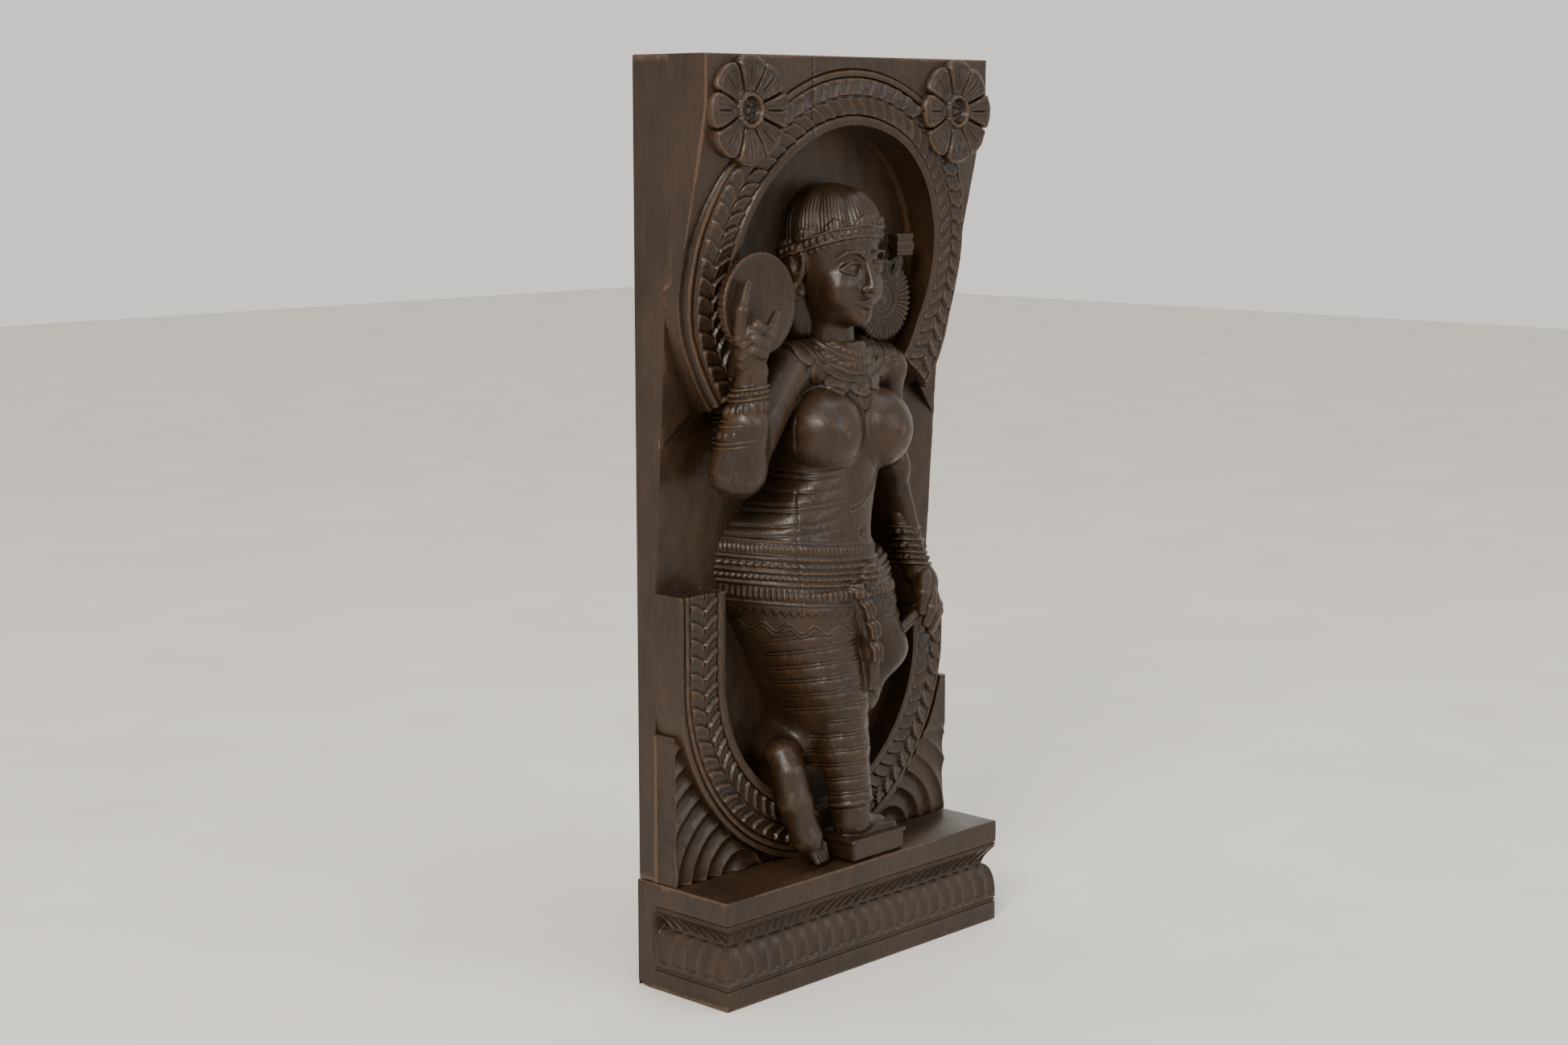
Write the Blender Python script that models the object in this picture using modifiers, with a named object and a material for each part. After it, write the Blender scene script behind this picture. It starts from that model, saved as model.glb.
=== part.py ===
"""A carved hardwood relief panel standing on a moulded plinth.

Hidden dowels locate the panel and two screws hold it down from below.
"""

from math import cos, pi, radians, sin

import bmesh
import bpy
from mathutils import Matrix, Vector

# The front faces -Y and the origin is the middle of the plinth's underside. All sizes are in metres.

# Overall sizes
PANEL_HEIGHT = 0.5987
PLINTH_WIDTH = 0.306
PLINTH_DEPTH = 0.0935
PLINTH_HEIGHT = 0.081
PANEL_WIDTH = 0.303
GAP = 0.0003
EXTRA = 0.001

# The panel, measured forwards from its flat back
TOP_THICKNESS = 0.0775
GROUND_TOP = 0.038
GROUND_MIDDLE = 0.027
GROUND_BOTTOM = 0.020
ARCH_LOW_THICKNESS = 0.052

# The round arch of the niche and the garland ring below it, as heights above the panel's foot
RING_OUTER = PANEL_WIDTH / 2 - 0.0005
RING_BAND = 0.043
ARCH_CENTRE = 0.4417
ARCH_END_ANGLE = radians(-38.5)
ARCH_SHOULDER = 0.5387
ARCH_LOW = 0.4037
GARLAND_CENTRE = 0.1537
GARLAND_TOP = 0.2157
GARLAND_THICKNESS = 0.048
FAN_TOP = 0.1117
FAN_THICKNESS = 0.040
FAN_WIDTH = 0.090

# Rosettes in the upper corners
ROSETTE_RADIUS = 0.0385
ROSETTE_RISE = 0.0065
ROSETTE_PETALS = 8
ROSETTE_NOTCH = 0.10
ROSETTE_INSET = 0.0005

# The plinth's mouldings, as heights above its underside
FILLET_LOW = 0.0186
WAIST_LOW = 0.0460
COVE_TOP = 0.0605
WAIST_RECESS = 0.0080
COVE_RECESS = 0.0028
RETURN_STRIP = 0.0150

# Hidden fixings
DOWEL_RADIUS = 0.0050
DOWEL_LENGTH = 0.0500
DOWEL_SPACING = 0.2000
FIXING_INSET = 0.0150
DOWEL_CHAMFER = 0.0010
SCREW_RADIUS = 0.0025
SCREW_LENGTH = 0.0700
SCREW_HEAD_RADIUS = 0.0048
SCREW_HEAD_HEIGHT = 0.0030
SCREW_SPACING = 0.0850
SCREW_GRIP = 0.0340
COUNTERBORE_RADIUS = 0.0065
DRIVE_RADIUS = 0.0016
DRIVE_DEPTH = 0.0015

# The figure's grid and the share of its faces that stay
FIGURE_GRID = 0.0030
FIGURE_KEEP = 0.080

BACK = PLINTH_DEPTH / 2
FIXING_LINE = BACK - FIXING_INSET
PANEL_FOOT = PLINTH_HEIGHT + GAP
HALF = PANEL_WIDTH / 2
RING_INNER = RING_OUTER - RING_BAND
ARCH_END = ARCH_CENTRE + RING_OUTER * sin(ARCH_END_ANGLE)
DOWELS = {"left": -DOWEL_SPACING / 2, "right": DOWEL_SPACING / 2}
SCREWS = {"left": -SCREW_SPACING / 2, "right": SCREW_SPACING / 2}
# Where each screw's head bears inside its counterbore
SHOULDER = PANEL_FOOT - (SCREW_LENGTH - SCREW_GRIP)


def clear_scene():
    for obj in list(bpy.data.objects):
        bpy.data.objects.remove(obj, do_unlink=True)


def new_collection(name):
    collection = bpy.data.collections.new(name)
    bpy.context.scene.collection.children.link(collection)
    return collection


def new_material(name, colour, roughness, metallic=0.0):
    material = bpy.data.materials.new(name)
    material.use_nodes = True
    shader = material.node_tree.nodes["Principled BSDF"]
    shader.inputs["Base Color"].default_value = (*colour, 1.0)
    shader.inputs["Roughness"].default_value = roughness
    shader.inputs["Metallic"].default_value = metallic
    return material


def move_to(obj, collection):
    for owner in list(obj.users_collection):
        owner.objects.unlink(obj)
    collection.objects.link(obj)
    return obj


def as_helper(obj):
    """Keeps a cutter or a joined shape out of the finished object."""
    obj.hide_render = True
    obj.display_type = "WIRE"
    return move_to(obj, helpers)


def mesh_object(name, build):
    """A mesh object whose bmesh is filled by the function build."""
    bm = bmesh.new()
    build(bm)
    bmesh.ops.recalc_face_normals(bm, faces=bm.faces)
    mesh = bpy.data.meshes.new(name)
    bm.to_mesh(mesh)
    bm.free()
    obj = bpy.data.objects.new(name, mesh)
    bpy.context.scene.collection.objects.link(obj)
    return obj


def box(name, low, high):
    low, high = Vector(low), Vector(high)

    def build(bm):
        matrix = Matrix.Translation((low + high) / 2)
        matrix @= Matrix.Diagonal((*(high - low), 1.0))
        bmesh.ops.create_cube(bm, size=1.0, matrix=matrix)

    return mesh_object(name, build)


def cylinder(name, radius, x, y, low, high, chamfer=0.0):
    """An upright cylinder at x and y, from the height low to the height high."""

    def build(bm):
        matrix = Matrix.Translation((x, y, (low + high) / 2))
        sizes = {"radius1": radius, "radius2": radius, "depth": high - low}
        bmesh.ops.create_cone(bm, cap_ends=True, segments=32, matrix=matrix, **sizes)

    obj = mesh_object(name, build)
    if chamfer:
        bevel = obj.modifiers.new("chamfer", "BEVEL")
        bevel.width = chamfer
        bevel.segments = 1
        bevel.limit_method = "ANGLE"
        bevel.angle_limit = radians(60)
    return obj


def curve_mesh(name, curve):
    """Turns a filled or bevelled curve into a mesh with its caps sewn on."""
    guide = bpy.data.objects.new(name + "_curve", curve)
    bpy.context.scene.collection.objects.link(guide)
    bpy.context.view_layer.update()
    graph = bpy.context.evaluated_depsgraph_get()
    mesh = bpy.data.meshes.new_from_object(guide.evaluated_get(graph))
    matrix = guide.matrix_world.copy()
    bpy.data.objects.remove(guide, do_unlink=True)
    bm = bmesh.new()
    bm.from_mesh(mesh)
    bmesh.ops.remove_doubles(bm, verts=bm.verts, dist=1e-6)
    bmesh.ops.recalc_face_normals(bm, faces=bm.faces)
    bm.to_mesh(mesh)
    bm.free()
    obj = bpy.data.objects.new(name, mesh)
    obj.matrix_world = matrix
    bpy.context.scene.collection.objects.link(obj)
    return obj


def outline_prism(name, points, front, back):
    """A flat outline in X and Z, extruded from front to back along Y."""
    curve = bpy.data.curves.new(name, "CURVE")
    curve.dimensions = "2D"
    curve.fill_mode = "BOTH"
    curve.extrude = (back - front) / 2
    spline = curve.splines.new("POLY")
    spline.points.add(len(points) - 1)
    for point, (x, z) in zip(spline.points, points):
        point.co = (x, z, 0.0, 1.0)
    spline.use_cyclic_u = True
    obj = curve_mesh(name, curve)
    obj.data.transform(Matrix.Rotation(pi / 2, 4, "X"))
    obj.data.transform(Matrix.Translation((0.0, (front + back) / 2, 0.0)))
    return obj


def side_prism(name, points, low, high):
    """A flat outline in Y and Z, extruded from low to high along X."""
    obj = outline_prism(name, points, low, high)
    obj.data.transform(Matrix.Diagonal((1.0, -1.0, 1.0, 1.0)))
    obj.data.transform(Matrix.Rotation(pi / 2, 4, "Z"))
    obj.data.flip_normals()
    return obj


def combine(target, other, operation, origin=None):
    """Joins, cuts or intersects target with a helper that is measured from the same origin."""
    other.parent = origin
    modifier = target.modifiers.new(operation.lower() + "_" + other.name, "BOOLEAN")
    modifier.operation = operation
    modifier.solver = "EXACT"
    modifier.object = as_helper(other)


def arc(radius, centre, start, end, steps):
    """Points of a circle about (0, centre), from one angle to another."""
    angles = [start + (end - start) * i / steps for i in range(steps + 1)]
    return [(radius * cos(a), centre + radius * sin(a)) for a in angles]


def ground_board():
    """The board behind the carving: its front slopes back from the niche to the knees."""
    profile = [
        (EXTRA, -EXTRA),
        (EXTRA, PANEL_HEIGHT + EXTRA),
        (-GROUND_TOP, PANEL_HEIGHT + EXTRA),
        (-GROUND_TOP, ARCH_CENTRE + RING_INNER),
        (-GROUND_MIDDLE, ARCH_END),
        (-GROUND_BOTTOM, GARLAND_TOP),
        (-GROUND_BOTTOM, -EXTRA),
    ]
    return side_prism("carved_panel", profile, -HALF - EXTRA, HALF + EXTRA)


def arch_block():
    """The head of the panel with the horseshoe band, cut back towards its two lower ends."""
    end = ARCH_END_ANGLE
    side, top = HALF + 2 * EXTRA, PANEL_HEIGHT + 2 * EXTRA
    points = [(side, top), (side, ARCH_CENTRE)]
    points += arc(RING_OUTER, ARCH_CENTRE, 0.0, end, 12)
    points += arc(RING_INNER, ARCH_CENTRE, end, pi - end, 40)
    points += arc(RING_OUTER, ARCH_CENTRE, pi - end, pi, 12)
    points += [(-side, ARCH_CENTRE), (-side, top)]
    block = outline_prism("arch_block", points, -TOP_THICKNESS - EXTRA, -EXTRA)
    wedge = side_prism(
        "arch_slope",
        [
            (-TOP_THICKNESS - 3 * EXTRA, ARCH_END - EXTRA),
            (-TOP_THICKNESS - 3 * EXTRA, top + EXTRA),
            (-TOP_THICKNESS, top + EXTRA),
            (-TOP_THICKNESS, ARCH_SHOULDER),
            (-ARCH_LOW_THICKNESS, ARCH_LOW),
            (-ARCH_LOW_THICKNESS, ARCH_END - EXTRA),
        ],
        -side - EXTRA,
        side + EXTRA,
    )
    combine(block, wedge, "DIFFERENCE")
    return block


def rosette(side):
    """An open flower of equal petals, flush with the panel's top and side."""
    count = 12 * ROSETTE_PETALS
    x = side * (HALF - ROSETTE_INSET - ROSETTE_RADIUS)
    z = PANEL_HEIGHT - ROSETTE_INSET - ROSETTE_RADIUS
    points = []
    for i in range(count):
        angle = 2 * pi * i / count
        lobe = abs(cos(ROSETTE_PETALS / 2 * angle))
        radius = ROSETTE_RADIUS * (1 - ROSETTE_NOTCH * (1 - lobe))
        points.append((x + radius * cos(angle), z + radius * sin(angle)))
    name = "rosette_left" if side < 0 else "rosette_right"
    return outline_prism(name, points, -TOP_THICKNESS - ROSETTE_RISE, -6 * EXTRA)


def garland():
    """The lower ring, open at the top, where its two limbs end in flat cuts."""
    points = [(RING_OUTER, GARLAND_TOP)]
    points += arc(RING_OUTER, GARLAND_CENTRE, 0.0, -pi, 32)
    points += [(-RING_OUTER, GARLAND_TOP), (-RING_INNER, GARLAND_TOP)]
    points += arc(RING_INNER, GARLAND_CENTRE, -pi, 0.0, 32)
    points += [(RING_INNER, GARLAND_TOP)]
    return outline_prism("garland", points, -GARLAND_THICKNESS, -2 * EXTRA)


def corner_fan(side):
    """The fan of leaves in a lower corner, as a plain block."""
    low, high = sorted((side * (HALF + 3 * EXTRA), side * (HALF - FAN_WIDTH)))
    name = "fan_left" if side < 0 else "fan_right"
    return box(name, (low, -FAN_THICKNESS, -2 * EXTRA), (high, -3 * EXTRA, FAN_TOP))


def ball(name, centre, radii, turn=0.0):
    """An ellipsoid, turned about Y."""

    def build(bm):
        matrix = Matrix.Translation(centre) @ Matrix.Rotation(turn, 4, "Y")
        matrix @= Matrix.Diagonal((*radii, 1.0))
        bmesh.ops.create_uvsphere(bm, u_segments=24, v_segments=16, radius=1.0, matrix=matrix)

    return mesh_object(name, build)


def limb(name, points):
    """A round limb through points given as (x, y, z, radius)."""
    curve = bpy.data.curves.new(name, "CURVE")
    curve.dimensions = "3D"
    curve.bevel_depth = 1.0
    curve.bevel_resolution = 4
    curve.use_fill_caps = True
    spline = curve.splines.new("POLY")
    spline.points.add(len(points) - 1)
    for point, (x, y, z, radius) in zip(spline.points, points):
        point.co = (x, y, z, 1.0)
        point.radius = radius
    return curve_mesh(name, curve)


def disc(name, centre, radius, thickness):
    """A disc that faces forwards."""

    def build(bm):
        matrix = Matrix.Translation(centre) @ Matrix.Rotation(pi / 2, 4, "X")
        sizes = {"radius1": radius, "radius2": radius, "depth": thickness}
        bmesh.ops.create_cone(bm, cap_ends=True, segments=40, matrix=matrix, **sizes)

    return mesh_object(name, build)


def joined(name, pieces):
    """One mesh object from several, whose shapes may still overlap."""
    bm = bmesh.new()
    for piece in pieces:
        bm.from_mesh(piece.data)
        bpy.data.objects.remove(piece, do_unlink=True)
    mesh = bpy.data.meshes.new(name)
    bm.to_mesh(mesh)
    bm.free()
    obj = bpy.data.objects.new(name, mesh)
    bpy.context.scene.collection.objects.link(obj)
    return obj


def head_and_neck():
    return [
        ball("skull", (0.002, -0.0527, 0.4587), (0.036, 0.037, 0.049)),
        ball("jaw", (0.001, -0.0607, 0.4317), (0.027, 0.026, 0.032)),
        limb("neck", [(0.002, -0.0408, 0.4387, 0.019), (0.005, -0.0387, 0.3587, 0.021)]),
        ball("back_of_head", (0.002, -0.0367, 0.4537), (0.036, 0.026, 0.045)),
        disc("hair_knot", (0.072, -0.0347, 0.4187), 0.031, 0.030),
        box("hair_ornament", (0.074, -0.0508, 0.4367), (0.095, -0.0328, 0.4697)),
    ]


def torso():
    return [
        limb("shoulders", [
            (-0.048, -0.0467, 0.3697, 0.020),
            (0.012, -0.0467, 0.3707, 0.025),
            (0.068, -0.0447, 0.3627, 0.019),
        ]),
        ball("chest", (0.008, -0.0447, 0.3337), (0.056, 0.026, 0.056)),
        ball("breast_left", (-0.021, -0.0628, 0.3297), (0.029, 0.029, 0.030)),
        ball("breast_right", (0.036, -0.0628, 0.3267), (0.029, 0.029, 0.030)),
        ball("ribs", (0.000, -0.0427, 0.2887), (0.047, 0.029, 0.045)),
        ball("waist", (-0.010, -0.0447, 0.2587), (0.048, 0.030, 0.040)),
        ball("hips", (-0.024, -0.0467, 0.2187), (0.078, 0.040, 0.040), radians(8)),
        box("torso_root", (-0.040, -0.0467, 0.2187), (0.045, -0.0127, 0.3787)),
        box("hip_root", (-0.095, -0.0508, 0.1907), (0.048, -0.0127, 0.2487)),
    ]


def legs():
    return [
        limb("standing_thigh", [(-0.040, -0.0488, 0.2237, 0.042), (-0.034, -0.0558, 0.1337, 0.032)]),
        limb("standing_shin", [
            (-0.034, -0.0558, 0.1367, 0.032),
            (-0.014, -0.0668, 0.0687, 0.022),
            (0.002, -0.0708, 0.0127, 0.016),
        ]),
        box("leg_root", (-0.082, -0.0467, 0.1187), (-0.004, -0.0127, 0.2187)),
        box("shin_root", (-0.052, -0.0527, 0.0387), (0.004, -0.0127, 0.1337)),
        limb("crossed_thigh", [(0.022, -0.0508, 0.2147, 0.036), (0.058, -0.0548, 0.1427, 0.024)]),
        limb("crossed_shin", [
            (0.058, -0.0508, 0.1407, 0.024),
            (0.010, -0.0387, 0.1087, 0.022),
            (-0.050, -0.0427, 0.0807, 0.015),
        ]),
        box("knee_root", (0.010, -0.0488, 0.1187), (0.072, -0.0127, 0.2187)),
        limb("crossed_foot", [
            (-0.051, -0.0488, 0.0827, 0.013),
            (-0.046, -0.0587, 0.0387, 0.013),
            (-0.040, -0.0648, 0.0067, 0.008),
        ]),
        box("foot_root", (-0.060, -0.0467, 0.0027), (-0.030, -0.0127, 0.0847)),
        limb("standing_foot", [(-0.004, -0.0747, 0.0227, 0.012), (0.034, -0.0788, 0.0177, 0.009)]),
        box("foot_block", (-0.014, -0.0897, 0.0000), (0.044, -0.0587, 0.0147)),
        box("block_root", (-0.014, -0.0607, 0.0000), (0.030, -0.0127, 0.0427)),
        limb("sash_tail", [(0.002, -0.0808, 0.2107, 0.007), (0.008, -0.0808, 0.1267, 0.008)]),
    ]


def arms():
    return [
        limb("raised_upper_arm", [(-0.050, -0.0447, 0.3687, 0.020), (-0.104, -0.0548, 0.3067, 0.020)]),
        limb("raised_forearm", [
            (-0.108, -0.0607, 0.3027, 0.020),
            (-0.105, -0.0648, 0.3437, 0.018),
            (-0.103, -0.0708, 0.3807, 0.012),
        ]),
        limb("raised_hand", [
            (-0.103, -0.0718, 0.3747, 0.012),
            (-0.106, -0.0757, 0.4027, 0.011),
            (-0.110, -0.0777, 0.4367, 0.005),
        ]),
        ball("raised_elbow", (-0.108, -0.0597, 0.3027), (0.020, 0.021, 0.021)),
        box("arm_root", (-0.118, -0.0508, 0.2967), (-0.045, -0.0168, 0.3687)),
        disc("hand_mirror", (-0.093, -0.0582, 0.4237), 0.037, 0.016),
        box("mirror_root", (-0.116, -0.0587, 0.3807), (-0.070, -0.0227, 0.4487)),
        limb("lowered_upper_arm", [(0.070, -0.0427, 0.3627, 0.018), (0.080, -0.0408, 0.2807, 0.015)]),
        limb("lowered_forearm", [(0.080, -0.0408, 0.2827, 0.015), (0.096, -0.0508, 0.2247, 0.014)]),
        limb("lowered_hand", [
            (0.097, -0.0527, 0.2247, 0.013),
            (0.104, -0.0587, 0.1987, 0.014),
            (0.106, -0.0617, 0.1617, 0.008),
        ]),
        limb("sash_end", [(0.100, -0.0688, 0.1837, 0.005), (0.066, -0.0628, 0.1567, 0.005)]),
        box("lowered_root", (0.066, -0.0447, 0.1737), (0.104, -0.0127, 0.3587)),
    ]


def figure():
    """The standing figure: rounded forms melted together on a fine grid, then thinned."""
    obj = joined("figure", head_and_neck() + torso() + legs() + arms())
    remesh = obj.modifiers.new("melt", "REMESH")
    remesh.mode = "VOXEL"
    remesh.voxel_size = FIGURE_GRID
    thin = obj.modifiers.new("thin", "DECIMATE")
    thin.ratio = FIGURE_KEEP
    return obj


def cut_holes(target, kind, places, y, radius, low, high, origin=None):
    """Cuts one upright hole at each of the two places along X."""
    for side, x in places.items():
        hole = cylinder(kind + "_" + side, radius, x, y, low, high)
        combine(target, hole, "DIFFERENCE", origin)


def carved_panel():
    """Everything here is measured from the middle of the panel's foot, at its back."""
    origin = bpy.data.objects.new("panel_origin", None)
    origin.location = (0.0, BACK, PANEL_FOOT)
    bpy.context.scene.collection.objects.link(origin)
    panel = ground_board()
    pieces = [arch_block(), garland(), figure()]
    for side in (-1, 1):
        pieces += [corner_fan(side), rosette(side)]
    for piece in pieces:
        combine(panel, piece, "UNION", origin)
    envelope = box("panel_envelope", (-HALF, -PLINTH_DEPTH, 0.0), (HALF, 0.0, PANEL_HEIGHT))
    combine(panel, envelope, "INTERSECT", origin)
    fixing = {"y": -FIXING_INSET, "low": -EXTRA, "origin": origin}
    depth = DOWEL_LENGTH / 2 + GAP
    cut_holes(panel, "dowel_bore", DOWELS, radius=DOWEL_RADIUS + GAP, high=depth, **fixing)
    depth = SCREW_GRIP + GAP
    cut_holes(panel, "pilot", SCREWS, radius=SCREW_RADIUS + GAP, high=depth, **fixing)
    panel.parent = origin
    return finished(panel, dark_wood)


def moulding_cutter():
    """What the plane takes off one long face: the cove and the top of the round."""
    swell = WAIST_LOW - FILLET_LOW
    points = [(-EXTRA, FILLET_LOW)]
    for i in range(9):
        angle = pi / 2 * i / 8
        points.append((WAIST_RECESS * (1 - cos(angle)), FILLET_LOW + swell * sin(angle)))
    points += [(COVE_RECESS, (WAIST_LOW + COVE_TOP) / 2), (0.0, COVE_TOP), (-EXTRA, COVE_TOP)]
    return points


def plinth():
    """A solid block with its round and cove cut on the front and both ends, and a plain back."""
    front, side = -PLINTH_DEPTH / 2, PLINTH_WIDTH / 2
    block = box("plinth", (-side, front, 0.0), (side, BACK, PLINTH_HEIGHT))
    profile = moulding_cutter()
    outline = [(front + depth, z) for depth, z in profile]
    cut = side_prism("front_moulding", outline, -side - EXTRA, side + EXTRA)
    combine(block, cut, "DIFFERENCE")
    for sign, name in ((-1, "left_moulding"), (1, "right_moulding")):
        outline = [(sign * (side - depth), z) for depth, z in profile]
        cut = outline_prism(name, outline, front - EXTRA, BACK - RETURN_STRIP)
        combine(block, cut, "DIFFERENCE")
    line, top = FIXING_LINE, PLINTH_HEIGHT + EXTRA
    low = PLINTH_HEIGHT - DOWEL_LENGTH / 2 - GAP
    cut_holes(block, "dowel_socket", DOWELS, line, DOWEL_RADIUS + GAP, low, top)
    cut_holes(block, "counterbore", SCREWS, line, COUNTERBORE_RADIUS, -EXTRA, SHOULDER)
    low = SHOULDER - EXTRA
    cut_holes(block, "clearance", SCREWS, line, SCREW_RADIUS + GAP, low, top)
    return finished(block, dark_wood)


def dowel(side, x):
    middle = PLINTH_HEIGHT + GAP / 2
    low, high = middle - DOWEL_LENGTH / 2, middle + DOWEL_LENGTH / 2
    pin = cylinder("dowel_" + side, DOWEL_RADIUS, x, FIXING_LINE, low, high, DOWEL_CHAMFER)
    return finished(pin, pale_wood)


def screw(side, x):
    """A wood screw with a pan head, a plain shank and a pointed end, driven upwards."""
    seat = SHOULDER - GAP
    tip = seat + SCREW_LENGTH - GAP
    low = seat - SCREW_HEAD_HEIGHT
    profile = [
        (0.0, tip),
        (SCREW_RADIUS * 0.9, tip - 2 * SCREW_RADIUS),
        (SCREW_RADIUS, tip - 3 * SCREW_RADIUS),
        (SCREW_RADIUS, seat),
        (SCREW_HEAD_RADIUS, seat),
        (SCREW_HEAD_RADIUS, seat - SCREW_HEAD_HEIGHT * 0.4),
        (SCREW_HEAD_RADIUS * 0.8, low),
        (DRIVE_RADIUS, low),
        (DRIVE_RADIUS, low + DRIVE_DEPTH),
        (0.0, low + DRIVE_DEPTH),
    ]

    def build(bm):
        points = [bm.verts.new((radius, 0.0, z)) for radius, z in profile]
        edges = [bm.edges.new(pair) for pair in zip(points, points[1:])]
        around = {"axis": (0.0, 0.0, 1.0), "cent": (0.0, 0.0, 0.0)}
        bmesh.ops.spin(bm, geom=points + edges, angle=2 * pi, steps=20, **around)
        bmesh.ops.remove_doubles(bm, verts=bm.verts, dist=1e-6)

    body = mesh_object("screw_" + side, build)
    body.data.transform(Matrix.Translation((x, FIXING_LINE, 0.0)))
    return finished(body, zinc_steel)


def finished(obj, material):
    obj.data.materials.clear()
    obj.data.materials.append(material)
    obj.data.shade_smooth()
    obj.data.set_sharp_from_angle(angle=radians(35))
    return move_to(obj, parts)


clear_scene()
parts = new_collection("carved_relief_panel")
helpers = new_collection("cutters_and_joined_shapes")
dark_wood = new_material("dark_stained_hardwood", (0.040, 0.026, 0.018), 0.42)
pale_wood = new_material("beech_dowel", (0.520, 0.340, 0.190), 0.60)
zinc_steel = new_material("zinc_plated_steel", (0.620, 0.620, 0.600), 0.35, 1.0)
carved_panel()
plinth()
for side_name, offset in DOWELS.items():
    dowel(side_name, offset)
for side_name, offset in SCREWS.items():
    screw(side_name, offset)
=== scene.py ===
"""A carved hardwood relief panel on its moulded plinth: the carver's forms, tool marks and waxed finish."""

import math

import bpy
import numpy as np
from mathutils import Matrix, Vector


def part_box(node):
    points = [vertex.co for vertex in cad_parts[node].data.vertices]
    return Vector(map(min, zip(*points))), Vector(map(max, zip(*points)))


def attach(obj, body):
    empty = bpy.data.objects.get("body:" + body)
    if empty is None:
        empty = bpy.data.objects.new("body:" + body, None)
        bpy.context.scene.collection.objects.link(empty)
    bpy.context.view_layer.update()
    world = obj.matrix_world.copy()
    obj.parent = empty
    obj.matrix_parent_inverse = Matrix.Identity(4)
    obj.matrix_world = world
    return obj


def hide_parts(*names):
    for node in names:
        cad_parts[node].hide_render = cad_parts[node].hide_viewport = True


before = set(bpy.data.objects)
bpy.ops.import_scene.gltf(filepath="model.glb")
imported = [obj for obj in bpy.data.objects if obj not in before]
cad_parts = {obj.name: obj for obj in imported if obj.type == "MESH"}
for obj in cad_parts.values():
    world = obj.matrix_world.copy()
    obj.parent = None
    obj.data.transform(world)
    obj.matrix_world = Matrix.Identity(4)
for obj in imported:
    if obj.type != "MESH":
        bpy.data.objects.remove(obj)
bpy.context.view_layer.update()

# Shapes are worked out in millimetres, in the frame's axes: the front faces -Y and the plinth stands on Z = 0.
MM = 0.001
panel_low, panel_high = (np.array(corner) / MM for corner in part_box("carved_panel"))
plinth_low, plinth_high = (np.array(corner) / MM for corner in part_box("plinth"))
FOOT, TOP = panel_low[2], panel_high[2]
BACK, HALF = panel_high[1], panel_high[0]

# The ground of the relief slopes back from the niche to the knees
GROUND_HEIGHTS = (FOOT, 297, 428, 631, TOP)
GROUND_FRONTS = (29, 27.5, 19.75, 8.75, 8.75)

# The round arch and the garland ring below it share their radii
RING_INNER, RING_OUTER = 108, 152.3
ARCH_HEIGHT, GARLAND_HEIGHT, GARLAND_END = 523, 229.5, 297
ARCH_END_ANGLE = math.radians(-38.5)
LEAF_PITCH = 12.5

# Where the split in the wood starts at the top edge
CRACK = -45.6

# Rounds of smoothing for a carved skin, and to find what stands proud of a surface
SKIN_ROUNDS, WEAR_ROUNDS = 2, 5

# Past this edge length, in millimetres, a mesh is too coarse to measure its wear and painted shade in full
WEAR_EDGE = 2.2


def ground(z):
    return np.interp(z, GROUND_HEIGHTS, GROUND_FRONTS)


def bedded(z):
    """Just inside the board, where the back of each piece of the relief lies."""
    return ground(z) + 1.5


def ease(x, low, high):
    """0 below low, 1 above high and a smooth rise between them."""
    t = np.clip((x - low) / (high - low), 0, 1)
    return t * t * (3 - 2 * t)


def bump(x, centre, half):
    """A rounded ridge: 1 at the centre and 0 from half away."""
    return np.maximum(0, 1 - ((x - centre) / half) ** 2)


def wave(angle):
    """1 at each whole turn and 0 halfway between, along a cosine."""
    return 0.5 + 0.5 * np.cos(angle)


def zigzag(turns):
    """1 at each whole number and 0 halfway between, in straight lines."""
    return np.abs(np.mod(turns, 1) - 0.5) * 2


# ---------------------------------------------------------------- meshes

def relaxed(points, ends, others, rounds):
    """Each point moved towards the mean of its neighbours, that many times."""
    count = np.maximum(np.bincount(ends, minlength=len(points)), 1)[:, None]
    for _ in range(rounds):
        total = np.stack([np.bincount(ends, points[others, i], len(points)) for i in range(3)], -1)
        points = points + 0.6 * (total / count - points)
    return points


def normals(points, faces):
    a, b, c, d = (points[faces[:, i]] for i in (0, 1, 2, -1))
    face = np.cross(c - a, d - b)
    total = np.stack([
        sum(np.bincount(faces[:, k], face[:, i], len(points)) for k in range(faces.shape[1])) for i in range(3)
    ], -1)
    return total / np.maximum(np.linalg.norm(total, axis=1, keepdims=True), 1e-9)


def chiselled(points, faces, height):
    """The surface lifted along its normals by height(x, y, z, normal), or sunk where that is negative."""
    normal = normals(points, faces)
    return points + normal * height(*points.T, normal)[:, None]


def hand_worked(x, y, z):
    """The slight unevenness of a surface cut by eye, in millimetres."""
    return 0.14 * (
        np.sin(0.31 * x + 1.7 * np.sin(0.11 * z)) * np.sin(0.23 * z + 0.19 * y + 1)
        + 0.6 * np.sin(0.53 * z + 0.37 * x - 0.29 * y) * np.sin(0.41 * x - 0.17 * z + 2)
    )


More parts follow.
